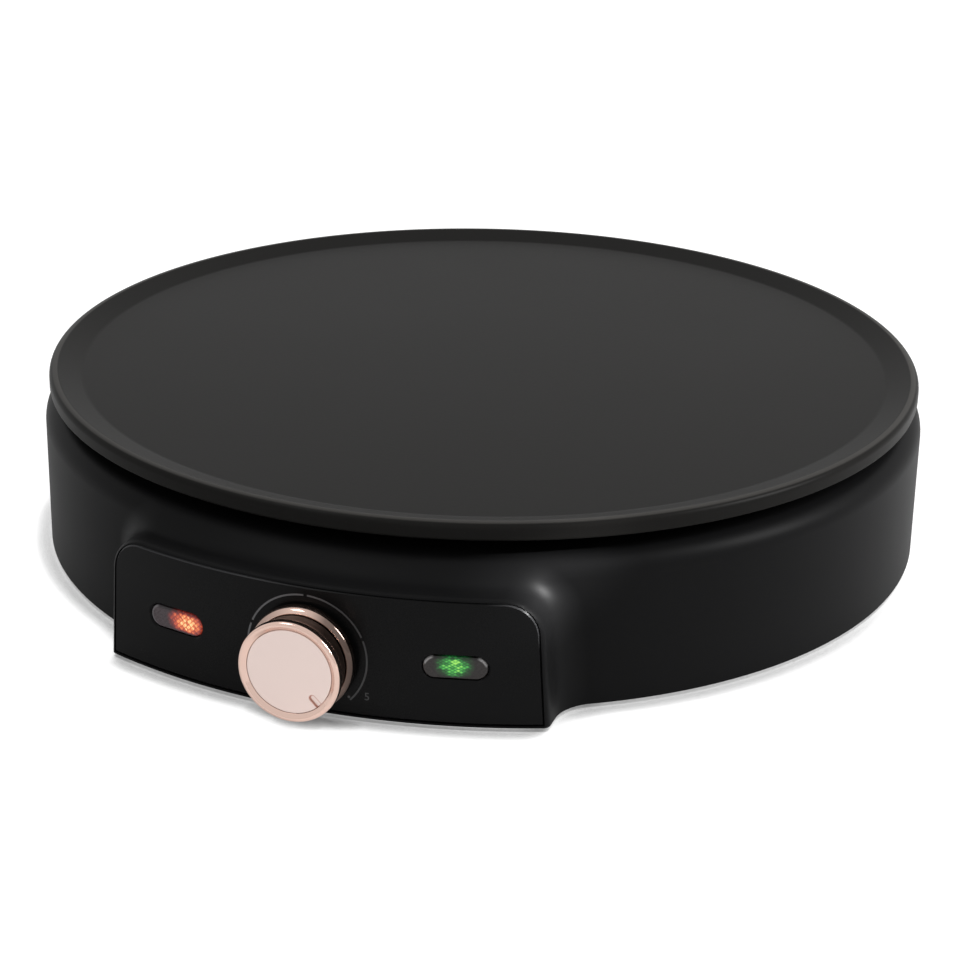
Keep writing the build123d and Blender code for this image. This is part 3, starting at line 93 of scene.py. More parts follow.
class Finish:
    """The node tree of a material, or of the world, while it is made."""

    def __init__(self, name, kept_in="materials", output="ShaderNodeOutputMaterial"):
        self.owner = getattr(bpy.data, kept_in).new(name)
        self.owner.use_nodes = True
        self.tree = self.owner.node_tree
        self.tree.nodes.clear()
        self.output = self.tree.nodes.new(output)

    def feed(self, socket, value):
        """Sets a socket to a value, or links it to a signal."""
        if isinstance(value, Signal):
            self.tree.links.new(value.socket, socket)
        elif isinstance(value, tuple) and len(value) == 3 and socket.type == "RGBA":
            socket.default_value = (*value, 1.0)
        else:
            socket.default_value = value

    def add(self, kind, settings=(), inputs=(), output=0):
        """A node of a kind with its settings, then its sockets' values or links."""
        node = self.tree.nodes.new(kind)
        for name, value in dict(settings).items():
            if name == "stops":
                set_stops(node.color_ramp, value)
            else:
                setattr(node, name, value)
        for key, value in dict(inputs).items():
            self.feed(node.inputs[key], value)
        return Signal(self, node.outputs[output])

    def place(self):
        return self.add("ShaderNodeTexCoord", output="Object")

    def axes(self, vector=None):
        """The three coordinates of a vector, or of the object's own space."""
        parts = self.add("ShaderNodeSeparateXYZ", {}, {"Vector": vector or self.place()})
        return [Signal(self, socket) for socket in parts.socket.node.outputs]

    def noise(self, size, detail=2.0, roughness=0.5):
        """Noise between 0 and 1 whose features are about a size in millimetres."""
        inputs = {"Vector": self.place(), "Scale": 1.0 / (size * MM)}
        inputs.update({"Detail": detail, "Roughness": roughness})
        return self.add("ShaderNodeTexNoise", {}, inputs)

    def ramp(self, value, stops):
        return self.add("ShaderNodeValToRGB", {"stops": stops}, {"Fac": value})

    def spread(self, value, low, high):
        """A 0 to 1 signal brought to a range."""
        return self.add("ShaderNodeMapRange", {}, {"Value": value, "To Min": low, "To Max": high})

    def window(self, value, low, high):
        """0 below a value, 1 above another, smooth in between."""
        inputs = {"Value": value, "From Min": low, "From Max": high}
        return self.add("ShaderNodeMapRange", {"interpolation_type": "SMOOTHSTEP"}, inputs)

    def edge(self, value, low, high):
        """The same between two values in millimetres."""
        return self.window(value, low * MM, high * MM)

    def mix(self, factor, first, second):
        """Colour between two colours."""
        inputs = {"Factor": factor, 6: first, 7: second}
        return self.add("ShaderNodeMix", {"data_type": "RGBA"}, inputs, output=2)

    def bump(self, height, depth):
        """Normal of a relief whose depth is in millimetres."""
        return self.add("ShaderNodeBump", {}, {"Height": height, "Distance": depth * MM})

    def ray(self, kind):
        """1 on the camera's own rays, or on those of a gloss or of glass."""
        return self.add("ShaderNodeLightPath", output=f"Is {kind} Ray")

    def seen(self):
        """1 where the camera looks, directly, in a gloss or through glass."""
        return self.ray("Camera").larger(self.ray("Glossy")).larger(self.ray("Transmission"))

    def texture(self, coarse, fine, tones, gloss, depth, share=0.5, fineness=0.65):
        """Colour, roughness and normal from clouds and a grain, whose sizes and depth are in
        millimetres: the clouds blend two tones, and the grain has a share in the gloss."""
        clouds, grain = self.noise(coarse, detail=3.0), self.noise(fine, roughness=fineness)
        strewn = clouds * (1.0 - share) + grain * share
        return {
            "Base_Color": self.mix(clouds, *tones), "Roughness": self.spread(strewn, *gloss),
            "Normal": self.bump(grain, depth),
        }

    def moulding(self, colour, roughness, grain, depth):
        """Texture of a moulded surface."""
        gloss = roughness - GLOSS_PLAY, roughness + GLOSS_PLAY
        return self.texture(40, grain, tones(colour, 0.12), gloss, depth, share=0.4, fineness=0.6)

    def plated(self, colour, evenness, grain, gloss, depth):
        """Texture of bare or plated metal, smeared to a darker tone."""
        return self.texture(14, grain, (shade(colour, evenness), colour), gloss, depth)

    def sheen(self, size, gloss, depth):
        """Roughness and normal from one grain."""
        grain = self.noise(size)
        return {"Roughness": self.spread(grain, *gloss), "Normal": self.bump(grain, depth)}

    def coat(self, **sockets):
        """Ends as a Principled surface; sockets by name with underscores for spaces."""
        inputs = {name.replace("_", " "): value for name, value in sockets.items()}
        return self.done(self.add("ShaderNodeBsdfPrincipled", {}, inputs))

    def done(self, shader):
        self.tree.links.new(shader.socket, self.output.inputs["Surface"])
        return self.owner


def set_stops(ramp, stops):
    """Colour ramp from (position, colour) pairs."""
    while len(ramp.elements) > 1:
        ramp.elements.remove(ramp.elements[-1])
    ramp.elements[0].position = stops[0][0]
    ramp.elements[0].color = (*stops[0][1], 1.0)
    for position, colour in stops[1:]:
        ramp.elements.new(position).color = (*colour, 1.0)


def shade(colour, factor):
    """A colour made lighter or darker."""
    return tuple(min(channel * factor, 1.0) for channel in colour)


def tones(colour, play):
    """A colour as much darker as lighter."""
    return shade(colour, 1.0 - play), shade(colour, 1.0 + play)


def across(first, second):
    """Distance from two distances at right angles."""
    return (first * first + second * second) ** 0.5


# Finishes

GLOSS_PLAY = 0.04               # how far a roughness strays either way
FLANGE_SHADE_SPAN = (-12 * MM, 16 * MM)       # across the knob, over which the flange's painted shade changes
# painted shade on the flange's front: (place across the span, brightness), darkest at the right
FLANGE_PAINTED_SHADES = ((0.0, 0.5), (0.15, 0.68), (0.36, 1.0), (0.57, 0.8), (0.72, 0.28), (1.0, 0.12))
FLANGE_SATIN, WAIST_SATIN = 0.36, 0.2    # roughness added on the flange's flat and on the waist painted black
# painted shade: the black of the knob's waist, where shade and dark reflections fall
WAIST_PAINTED_BLACK = (0.006, 0.005, 0.005)
# painted shade round the pointer's notch
NOTCH_SHADE_LINE = (0.6, 0.36, 0.3)


def moulded(name, colour, roughness, grain=0.4, depth=0.008, reflection=0.5):
    """Moulded plastic, rubber or ceramic: fine grain, faint clouds in colour and gloss."""
    finish = Finish(name)
    look = finish.moulding(colour, roughness, grain, depth)
    return finish.coat(Specular_IOR_Level=reflection, **look)


def metal(name, colour, roughness, grain=0.3, depth=0.002, evenness=0.94):
    """Bare or plated metal: faint smears in gloss and fine marks of its making."""
    finish = Finish(name)
    gloss = roughness * 0.8, roughness * 1.25
    return finish.coat(Metallic=1.0, **finish.plated(colour, evenness, grain, gloss, depth))


def plating(name, colour, knob, drum):
    """Polished plating with painted shade: the knob's waist painted black, and the flange's front painted darker
    towards its right.
    """
    finish = Finish(name)
    look = finish.plated(colour, 0.94, 0.3, (0.11, 0.17), 0.001)
    x, y, z = finish.axes()
    radius = across(x, z - KNOB_AXIS.z * MM)
    out = (drum.face_centre - drum.face_radius) * MM - y
    front, back = knob.gap + knob.flange, knob.reach - knob.head
    # painted shade: the waist between flange and head painted black
    waist = finish.edge(radius, knob.head_radius - 0.9, knob.head_radius - 1.3)
    waist = waist * finish.edge(out, front + 0.2, front + 0.5)
    waist = waist * finish.edge(out, back + 0.9, back + 0.7)
    on_flange = finish.edge(out, front + 0.3, front + 0.1)
    # painted shade: the flange's front painted darker towards the right
    span = {"Value": x, "From Min": FLANGE_SHADE_SPAN[0], "From Max": FLANGE_SHADE_SPAN[1]}
    stops = [(stop, shade(colour, tint)) for stop, tint in FLANGE_PAINTED_SHADES]
    flange_shade = finish.ramp(finish.add("ShaderNodeMapRange", {}, span), stops)
    tone = finish.mix(waist, look["Base_Color"], WAIST_PAINTED_BLACK)
    look["Base_Color"] = finish.mix(on_flange * (1.0 - waist), tone, flange_shade)
    flat = finish.edge(radius, knob.flange_radius - 1.9, knob.flange_radius - 2.2)
    flat = flat * on_flange * finish.edge(out, front - 1.4, front - 1.2)
    look["Roughness"] = look["Roughness"] + waist * WAIST_SATIN + flat * FLANGE_SATIN
    return finish.coat(Metallic=1.0 - waist, Specular_IOR_Level=0.3, **look)


def satin_disc(name, colour, knob):
    """Satin plating with painted shade: a darker line round the pointer's notch."""
    finish = Finish(name)
    look = finish.plated(colour, 0.97, 0.18, (0.28, 0.42), 0.002)
    x, _, z = finish.axes()
    rise = z - KNOB_AXIS.z * MM
    side, up = math.sin(knob.pointer_angle), math.cos(knob.pointer_angle)
    along, aside = x * side + rise * up, x * up - rise * side
    half = knob.pointer_width / 2
    before = ((knob.pointer_in + half / 2) * MM - along).larger(0.0)
    outline = finish.edge(abs(across(before, aside) - half * MM), 0.4, 0.15)
    look["Base_Color"] = finish.mix(outline, look["Base_Color"], NOTCH_SHADE_LINE)
    return finish.coat(Metallic=1.0, **look)


def panel_black(name, looks):
    """Moulded black with a painted highlight on its chamfer along the top and at the upper corner."""
    finish = Finish(name)
    look = finish.moulding(looks.panel_colour, looks.panel_roughness, 0.35, 0.003)
    x, _, z = finish.axes()
    chamfer = finish.add("ShaderNodeAttribute", {"attribute_name": CHAMFER}, output="Fac")
    # painted highlight: the chamfer painted lighter on the top's left part and at the upper right corner
    lit = finish.edge(x, 0, -20) + finish.edge(x, 52, 62) * 0.8
    lit = lit * chamfer * finish.edge(z, 27, 32)
    look["Base_Color"] = finish.mix(lit, look["Base_Color"], shade(looks.panel_colour, 9.0))
    return finish.coat(Specular_IOR_Level=looks.panel_reflection, **look)


def dial_ink(name, colour):
    """Printed ink with painted light: lighter to the left of the dial, darker to the right."""
    finish = Finish(name)
    painted_light = finish.edge(finish.axes()[0], -12, 18)
    tone = finish.mix(painted_light, shade(colour, 1.9), shade(colour, 0.55))
    return finish.coat(Base_Color=tone, **finish.sheen(0.2, (0.4, 0.5), 0.004))


def striped_wire(name, colour, stripe):
    """Insulation with a second colour in bands along it."""
    finish = Finish(name)
    x, y, z = finish.axes()
    bands = ((x + y + z) / (5.0 * MM)).fraction()
    tone = finish.mix(finish.window(bands, 0.45, 0.55), colour, stripe)
    return finish.coat(Base_Color=tone, **finish.sheen(0.6, (0.4, 0.5), 0.01))


def bulb_glass(name, colour):
    """Clear glass with a faint tint and a ripple."""
    finish = Finish(name)
    tone = finish.mix(finish.noise(2.0), shade(colour, 0.95), colour)
    glass = finish.sheen(2.0, (0.02, 0.06), 0.02)
    return finish.coat(Base_Color=tone, Transmission_Weight=0.8, IOR=1.5, **glass)


def plate_coating(name, looks, plate):
    """Non-stick coating: dark, with fine pale flecks, a faint orange peel and a painted highlight along the rim's
    crest.
    """
    finish = Finish(name)
    colour = looks.plate_colour
    gloss = looks.plate_roughness - GLOSS_PLAY, looks.plate_roughness + GLOSS_PLAY
    look = finish.texture(60, 1.2, tones(colour, 0.07), gloss, 0.012, fineness=0.5)
    flecks = finish.window(finish.noise(0.5, 1.0), 0.66, 0.74)
    x, y, z = finish.axes()
    radius = across(x, y)
    # painted highlight: a thin ring along the crest painted lighter
    crest = finish.edge(radius, plate.crest_radius - 0.1, plate.crest_radius + 0.4)
    crest = crest * finish.edge(radius, plate.crest_radius + 2.2, plate.crest_radius + 1.5)
    crest = crest * finish.edge(z, plate.crest_z - 1.4, plate.crest_z - 0.9)
    tone = finish.mix(flecks * 0.3, look["Base_Color"], shade(colour, 2.0))
    look["Base_Color"] = finish.mix(crest, tone, shade(colour, 4.6))
    return finish.coat(Specular_IOR_Level=looks.plate_reflection, **look)


def lamp_lens(name, lens, lamp, turn, centre):
    """Smoky prismatic lens with a lamp behind it: prisms that catch the light one by one, painted shade along its
    top edge and a painted highlight on its rim at the ends.
    """
    finish = Finish(name)
    inputs = {"Vector": finish.place(), "Location": centre, "Rotation": (0.0, 0.0, turn)}
    x, _, z = finish.axes(finish.add("ShaderNodeMapping", {"vector_type": "TEXTURE"}, inputs))
    first = (x * lens.weave[0] + z * lens.weave[1]) / MM
    second = (x * lens.weave[2] - z * lens.weave[3]) / MM
    cell = finish.add("ShaderNodeCombineXYZ", {}, {"X": first.whole(), "Y": second.whole()})
    sparkle = finish.add("ShaderNodeTexWhiteNoise", {}, {"Vector": cell})
    ridge = abs(first.fraction() - 0.5).larger(abs(second.fraction() - 0.5)) * 2.0
    side = (x - lens.along * MM) / (lens.glow_width * MM)
    rise = (z - lens.up * MM) / (lens.glow_height * MM)
    edge = lamp.width / 2
    # painted shade along the lens's top edge, which also dims the glow there
    painted_top_shade, foot = finish.edge(z, edge - 0.5, edge - 1.5), finish.edge(z, 0.4 - edge, 1.3 - edge)
    glow = finish.window(across(side, rise), 1.0, 0.0) * finish.spread(painted_top_shade, 0.35, 1.0) * foot
    facets = glow * (0.5 + 1.25 * sparkle) * finish.spread(ridge ** 2.0, 1.0, 0.35)
    smoke = finish.noise(3.0)
    base = finish.mix(smoke, *tones(lens.smoke, 0.15))
    base = finish.mix(ridge * 0.35, base, shade(lens.smoke, 1.5))
    # painted shade: the top edge darkened
    base = finish.mix((1.0 - painted_top_shade) * 0.8, base, shade(lens.smoke, 0.15))
    # painted highlight: a lighter rim round the lens's ends
    beyond = (abs(x) - (lamp.length - lamp.width) / 2 * MM).larger(0.0)
    rim = finish.edge(across(beyond, z), edge - 1.0, edge - 0.5) * finish.edge(beyond, 0.2, 1.5)
    rim = rim * finish.edge(z, lens.rim_low, lens.rim_low + 1.2)
    rim = rim * finish.edge(x, lens.rim_ends, lens.rim_ends - 2.0)
    light = {"Emission_Color": finish.ramp(facets, lens.stops), "Emission_Strength": 1.0}
    gloss = {"Roughness": finish.spread(smoke, 0.1, 0.18), "Specular_IOR_Level": 0.35}
    return finish.coat(Base_Color=finish.mix(rim, base, lens.rim), **gloss, **light)


# Settings

def length(name, description, millimetres):
    return FloatProperty(
        name=name, description=description, unit="LENGTH", precision=5, default=millimetres * MM,
    )


def degrees(name, description, value):
    return FloatProperty(
        name=name, description=description, subtype="ANGLE", default=math.radians(value),
    )


def colour(name, description, value):
    return FloatVectorProperty(
        name=name, description=description, subtype="COLOR", size=3, min=0.0, max=1.0, default=value,
    )


def number(name, description, value):
    return FloatProperty(name=name, description=description, default=value)


class PlateShape(bpy.types.PropertyGroup):
    """Sizes of the cooking plate."""

    radius: length("Radius", "Outside of the skirt", 150.0)
    crest_z: length("Crest", "Top of the rim above the table", 61.0)
    crest_radius: length("Crest radius", "Inner edge of the rim's crest", 147.0)
    surface_radius: length("Surface radius", "Edge of the flat cooking surface", 139.0)
    surface_z: length("Surface", "Cooking surface above the table", 58.5)
    under_z: length("Underside", "Underside above the table", 55.4)
    rim_round: length("Rim round", "Round of the crest's edges", 2.2)
    slope_round: length("Slope round", "Round between surface and slope", 4.0)
    skirt_round: length("Skirt round", "Round of the skirt's lower edge", 0.8)
    lip_radius: length("Lip radius", "Outside of the ring under the plate", 138.5)
    lip_wall: length("Lip wall", "Thickness of the ring", 2.5)
    lip_z: length("Lip end", "Lower edge of the ring above the table", 50.9)
    lip_root: length("Lip root", "Rounds where the ring meets the plate", 0.8)
    lip_round: length("Lip round", "Rounds of the ring's lower edge", 0.6)
    heater_radius: length("Heater radius", "Middle of the heater's ridge", 88.0)
    ridge_width: length("Ridge width", "Width of the heater's ridge", 12.0)
    ridge_z: length("Ridge", "Underside of the ridge above the table", 50.4)
    groove_radius: length("Groove radius", "Groove that holds the heater's tube", 3.35)
    pillar_circle: length("Pillar circle", "Axis to the middle of each pillar", 112.0)
    pillar_radius: length("Pillar radius", "Radius of a pillar", 6.0)
    pillar_z: length("Pillar end", "Lower end of the pillars above the table", 43.0)


class DrumShape(bpy.types.PropertyGroup):
    """Sizes of the drum and its control housing."""

    radius: length("Radius", "Outside of the drum", 151.8)
    top_z: length("Top", "Deck above the table", 50.2)
    shoulder: length("Shoulder", "Round between wall and deck", 7.0)
    edge_z: length("Edge", "Lower edge above the table", 1.2)
    wall: length("Wall", "Wall thickness", 2.5)
    well_radius: length("Well radius", "Well under the plate", 133.0)
    well_z: length("Well floor", "Floor of the well above the table", 40.0)
    face_radius: length("Front radius", "Radius of the curved front", 189.3)
    face_centre: length("Front centre", "Centre of the curved front, back from the axis", 26.0)
    half_width: length("Half width", "Half the housing's width at its lower edge", 72.0)
    draft: degrees("Draft", "Lean of the housing's sides", 3.5)
    housing_z: length("Housing top", "Top of the housing above the table", 43.1)
    corner: length("Corner", "Round of the housing's upper corners", 12.0)
    blend: length("Blend", "Fillet between the housing and the drum", 7.0)
    edge_round: length("Edge round", "Round of the housing's front edges", 1.5)
    gland_z: length("Gland height", "Middle of the cord gland above the table", 19.0)
    gland_seat: length("Gland seat", "Radius of the flat seat of the gland", 12.0)
    gland_seat_y: length("Gland seat face", "Face of the gland's seat behind the axis", 152.7)
    gland_seat_wall: length("Gland seat wall", "Thickness of the gland's seat", 4.8)
    gland_seat_round: length("Gland seat round", "Round of the seat's edge", 0.4)
    gland_hole: length("Gland hole", "Radius of the gland's hole", 7.2)


class PanelShape(bpy.types.PropertyGroup):
    """Sizes of the control panel and its dial."""

    margin: length("Margin", "Housing left round the panel", 1.0)
    ledge: length("Ledge", "Housing left below the panel", 0.6)
    groove: length("Groove", "Parting gap round the panel", 0.25)
    thickness: length("Thickness", "Thickness of the panel", 2.0)
    edge: length("Edge", "Chamfer of the panel's edges", 0.5)
    bush_hole: length("Bush hole", "Radius of the hole behind the knob", 4.8)
    dial_radius: length("Dial radius", "Middle of the printed arc", 19.2)
    dial_line: length("Dial line", "Width of the printed line", 0.55)
    dial_sweep: degrees("Dial sweep", "Half of the dial's sweep from the top", 135.0)
    dial_gap: degrees("Dial gap", "Gap between the printed arcs", 3.4)
    dot_circle: length("Dot circle", "Knob's axis to the dot at the dial's end", 18.3)
    dot_angle: degrees("Dot angle", "Dot from the top", 132.0)
    dot_radius: length("Dot radius", "Radius of the dot", 0.42)
    print_height: length("Print height", "Thickness of the ink", 0.03)
    digit_radius: length("Digit radius", "Axis to the digits", 22.4)
    digit_angle: degrees("Digit angle", "Digits from the top", 121.0)
    digit_size: length("Digit size", "Height of the digits' font", 3.6)


class LampShape(bpy.types.PropertyGroup):
    """Sizes of the indicator lamps' lenses."""

    angle: degrees("Angle", "Lamps from the middle of the front", 13.862)
    height: length("Height", "Lamps above the table", 20.5)
    length: length("Length", "Length of a lens", 19.5)
    width: length("Width", "Height of a lens", 7.4)
    gap: length("Gap", "Gap round a lens", 0.25)
    sink: length("Sink", "Front of the lens below the panel's face", 0.4)
    edge: length("Edge", "Round of the lens's front edge", 0.6)
    seat: length("Seat", "Lens flange below the panel's face", 5.8)
    flange: length("Flange", "Flange beyond the lens", 1.4)
    flange_wall: length("Flange wall", "Thickness of the flange", 1.2)
    overlap: length("Overlap", "Flange's bite into the lens", 0.05)
    border: length("Border", "Plain border round the prisms", 0.45)
    facet: length("Facet", "Half the width of a prism", 0.6)
    facet_depth: length("Facet depth", "Height of a prism", 0.16)


class KnobShape(bpy.types.PropertyGroup):
    """Sizes of the knob."""

    gap: length("Gap", "Panel to flange", 1.0)
    reach: length("Reach", "Panel to the knob's front", 13.9)
    flange_radius: length("Flange radius", "Outside of the flange", 16.8)
    flange: length("Flange", "Thickness of the flange", 4.6)
    flange_round: length("Flange round", "Round of the flange's front edge", 2.0)
    flange_dish: length("Flange dish", "Fall of the flange's front to the neck", 0.8)
    neck_radius: length("Neck radius", "Radius of the neck", 10.5)
    neck_round: length("Neck round", "Rounds at both ends of the neck", 1.5)
    head_radius: length("Head radius", "Outside of the head", 16.2)
    head: length("Head", "Thickness of the head", 4.2)
    head_round: length("Head round", "Round of the head's rear edge", 1.5)
    head_dish: length("Head dish", "Fall of the head's back to the neck", 0.6)
    rear_round: length("Rear round", "Round of the flange's rear edge", 0.5)
    front_round: length("Front round", "Round of the head's front edge", 1.05)
    crest_round: length("Crest round", "Round of the rim's inner edge", 0.7)
    crest_radius: length("Crest radius", "Inner edge of the rim's crest", 14.9)
    disc_radius: length("Disc radius", "Satin disc in the head", 13.5)
    disc_sink: length("Disc sink", "Disc's face below the rim", 0.9)
    disc: length("Disc", "Thickness of the disc", 1.2)
    disc_gap: length("Disc gap", "Gap round the disc", 0.1)
    disc_round: length("Disc round", "Round of the disc's edge", 0.25)
    bore: length("Bore", "Radius of the shaft's bore", 3.05)
    bore_depth: length("Bore depth", "Depth of the shaft's bore", 8.5)
    pointer_angle: degrees("Pointer angle", "Pointer from the top, clockwise", 135.0)
    pointer_width: length("Pointer width", "Width of the pointer's notch", 1.8)
    pointer_depth: length("Pointer depth", "Depth of the pointer's notch", 0.55)
    pointer_in: length("Pointer end", "Inner end of the notch from the axis", 10.0)
    pointer_round: length("Pointer round", "Bevel of the notch's edges", 0.22)


class Looks(bpy.types.PropertyGroup):
    """Colours and gloss of the main finishes."""

    # dark grey coating, its slight warmth a painted reflection
    plate_colour: colour("Plate", "Colour of the non-stick coating", (0.0125, 0.012, 0.0113))
    plate_roughness: number("Plate roughness", "Roughness of the coating", 0.36)
    plate_reflection: number("Plate reflection", "Reflection level of the coating", 0.043)
    drum_colour: colour("Drum", "Colour of the drum", (0.0075, 0.0075, 0.0078))
    drum_roughness: number("Drum roughness", "Roughness of the drum", 0.43)
    drum_reflection: number("Drum reflection", "Reflection level of the drum", 0.05)
    panel_colour: colour("Panel", "Colour of the control panel", (0.0062, 0.0062, 0.0065))
    panel_roughness: number("Panel roughness", "Roughness of the panel", 0.27)
    panel_reflection: number("Panel reflection", "Reflection level of the panel", 0.08)
    ink_colour: colour("Ink", "Colour of the dial's print", (0.075, 0.076, 0.08))
    polished_colour: colour("Polished gold", "Colour of the knob's plating", (0.85, 0.61, 0.52))
    satin_colour: colour("Satin gold", "Colour of the knob's disc", (0.85, 0.7, 0.65))


class StageLooks(bpy.types.PropertyGroup):
    """Camera, lamps and surroundings."""

    azimuth: degrees("Azimuth", "Camera's turn towards +X", 18.52)
    elevation: degrees("Elevation", "Camera's height above the horizon", 22.56)
    roll: degrees("Roll", "Camera's turn about its own axis", 1.0)
    distance: length("Distance", "Camera to its aim point", 900.0)
    lens: number("Lens", "Focal length on a 36 mm sensor", 94.75)
    aim_side: length("Aim, sideways", "Aim point off the axis", -0.78)
    aim_height: length("Aim, height", "Aim point above the table", 12.74)
    surround: number("Surround", "Strength of the world's soft light", 0.36)
    mirrored: number("Mirrored surround", "Strength of the world in a gloss", 0.8)
    key: number("Key", "Power of the key lamp in watts", 9.0)
    fill: number("Fill", "Power of the fill lamp in watts", 3.0)
    accent: number("Accent", "Power of the narrow lamp on the housing's corner in watts", 175.0)
    contact: length("Contact shadow", "Reach of the shadow at the object's foot", 11.0)


def settings(context, *names):
    """Values of property groups, their lengths in millimetres."""
    found = []
    for group in (getattr(context.scene, f"crepe_{name}") for name in names):
        values = {}
        for name, prop in group.bl_rna.properties.items():
            if prop.type == "FLOAT":
                value = getattr(group, name)
                value = tuple(value) if prop.is_array else value
                values[name] = value / MM if prop.unit == "LENGTH" else value
        found.append(SimpleNamespace(**values))
    return found


# Modelling. Pieces are modelled in millimetres and brought to metres when finished.

def wire(points, rounds=(), steps=6):
    """Line through (radius, height) points in XZ; rounds lists (point, radius)."""
    bm = bmesh.new()
    verts = [bm.verts.new((x, 0.0, z)) for x, z in points]
    for start, end in zip(verts, verts[1:]):
        bm.edges.new((start, end))
    for index, radius in rounds:
        round_corner(bm, verts[index], radius, steps)
    return bm


def round_corner(bm, corner, radius, steps):
    """Turns one corner of a wire into an arc of a radius."""
    arms = [edge.other_vert(corner).co - corner.co for edge in corner.link_edges]
    bevel(bm, [corner], radius / math.tan(arms[0].angle(arms[1]) / 2), steps, "VERTICES")


def bevel(bm, geom, width, steps, affect="EDGES"):
    """Rounds edges or corners; one step makes a chamfer."""
    bmesh.ops.bevel(
        bm, geom=geom, offset=width, offset_type="OFFSET", segments=steps, profile=0.5,
        affect=affect, material=-1, clamp_overlap=affect == "EDGES",
    )


def sweep(bm, geom, angle, steps, closed=False):
    """Turns a section about Z, and gives its last copy."""
    return bmesh.ops.spin(
        bm, geom=geom, cent=(0, 0, 0), axis=(0, 0, 1), angle=angle, steps=steps, use_merge=closed,
    )["geom_last"]


def spin(bm, steps):
    """Turns a section into a whole closed piece."""
    sweep(bm, bm.verts[:] + bm.edges[:], 2.0 * math.pi, steps, closed=True)
    bmesh.ops.remove_doubles(bm, verts=bm.verts, dist=NEAR)
    bmesh.ops.recalc_face_normals(bm, faces=bm.faces)
    return bm


def moved(bm, place):
    """Moves a bmesh by a matrix or an offset."""
    matrix = place if isinstance(place, Matrix) else Matrix.Translation(place)
    bmesh.ops.transform(bm, matrix=matrix, verts=bm.verts)
    return bm


def cylinder(radius, low, high, steps=32):
    """Upright closed cylinder."""
    bm = bmesh.new()
    bmesh.ops.create_cone(
        bm, cap_ends=True, segments=steps, radius1=radius, radius2=radius, depth=high - low,
        matrix=Matrix.Translation((0, 0, (low + high) / 2)),
    )
    return bm


def slot_sheet(slot_length, slot_width):
    """Flat slot with round ends, in XY."""
    bm = bmesh.new()
    bmesh.ops.create_circle(
        bm, cap_ends=True, segments=2 * SLOT_STEPS, radius=slot_width / 2,
        matrix=Matrix.Rotation(math.pi / (2 * SLOT_STEPS), 4, "Z"),
    )
    for vert in bm.verts:
        vert.co.x += math.copysign((slot_length - slot_width) / 2, vert.co.x)
    return bm


def thicken(bm, low, high):
    """Makes a closed slab, between two heights, of a flat sheet in XY."""
    for vert in bm.verts:
        vert.co.z = low
    grown = bmesh.ops.extrude_face_region(bm, geom=bm.faces[:], use_keep_orig=True)["geom"]
    for vert in only(grown, bmesh.types.BMVert):
        vert.co.z = high
    bmesh.ops.recalc_face_normals(bm, faces=bm.faces)
    return bm


def only(geom, kind):
    """The items of a kind among mixed geometry."""
    return [item for item in geom if isinstance(item, kind)]


def outward(bm):
    """Turns the faces of a closed piece outward, also where it is thin and curved."""
    bmesh.ops.recalc_face_normals(bm, faces=bm.faces)
    if bm.calc_volume(signed=True) < 0.0:
        bmesh.ops.reverse_faces(bm, faces=bm.faces)
    return bm


def front_edges(bm, front):
    """Sharp edges that lie in the front face of a slab."""
    sharp = [edge for edge in bm.edges if edge.is_manifold and edge.calc_face_angle() > 0.8]
    return [edge for edge in sharp if all(vert.co.z > front - NEAR for vert in edge.verts)]


def slice_front(bm, step):
    """Cuts a slab by upright planes at equal steps, so that it can be curved."""
    for i in range(int(2 * HALF_SPAN / step) + 1):
        whole = bm.verts[:] + bm.edges[:] + bm.faces[:]
        cut(bm, whole, Vector((1, 0, 0)), i * step - HALF_SPAN, NEAR / 10)


def cut(bm, geom, normal, offset, near=NEAR):
    """Adds edges where a plane passes, and keeps both sides."""
    bmesh.ops.bisect_plane(bm, geom=geom, dist=near, plane_co=normal * offset, plane_no=normal)


def onto_front(bm, drum):
    """Lays a piece drawn flat in (along, up, out) over the housing's curved front."""
    for vert in bm.verts:
        along, up, out = vert.co
        turn, reach = along / drum.face_radius, drum.face_radius + out
        vert.co = (reach * math.sin(turn), drum.face_centre - reach * math.cos(turn), up)
    return outward(bm)


def merge_into(bm, other):
    """Adds another bmesh's faces to a bmesh."""
    mesh = mesh_of(other, "part")
    bm.from_mesh(mesh)
    bpy.data.meshes.remove(mesh)


def mesh_of(bm, name):
    """Mesh made of a bmesh, which is freed."""
    mesh = bpy.data.meshes.new(name)
    bm.to_mesh(mesh)
    bm.free()
    return mesh


def add_object(name, data):
    item = bpy.data.objects.new(name, data)
    bpy.context.scene.collection.objects.link(item)
    return item


def make_piece(name, bm, material, body="base", replaces=(), sharp=35.0):
    """Finishes a piece: metres, smooth shading with true edges, its body, slot and node."""
    bmesh.ops.scale(bm, vec=(MM, MM, MM), verts=bm.verts)
    mesh = mesh_of(bm, name)
    mesh.shade_smooth()
    mesh.set_sharp_from_angle(angle=math.radians(sharp))
    mesh.materials.append(material)
    piece = add_object(name, mesh)
    piece.modifiers.new("even shading", "WEIGHTED_NORMAL").keep_sharp = True
    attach(piece, body)
    if replaces:
        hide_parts(*replaces)
    return piece


def carve(bm, cutters):
    """The bmesh with other closed bmeshes cut away."""
    target = add_object("carved", mesh_of(bm, "carved"))
    tools = [add_object("cutter", mesh_of(cutter, "cutter")) for cutter in cutters]
    for tool in tools:
        step = target.modifiers.new("cut", "BOOLEAN")
        step.operation, step.solver, step.object = "DIFFERENCE", "EXACT", tool
    result = bmesh.new()
    result.from_object(target, bpy.context.evaluated_depsgraph_get())
    for item in [target] + tools:
        bpy.data.objects.remove(item)
    return result


# Plate

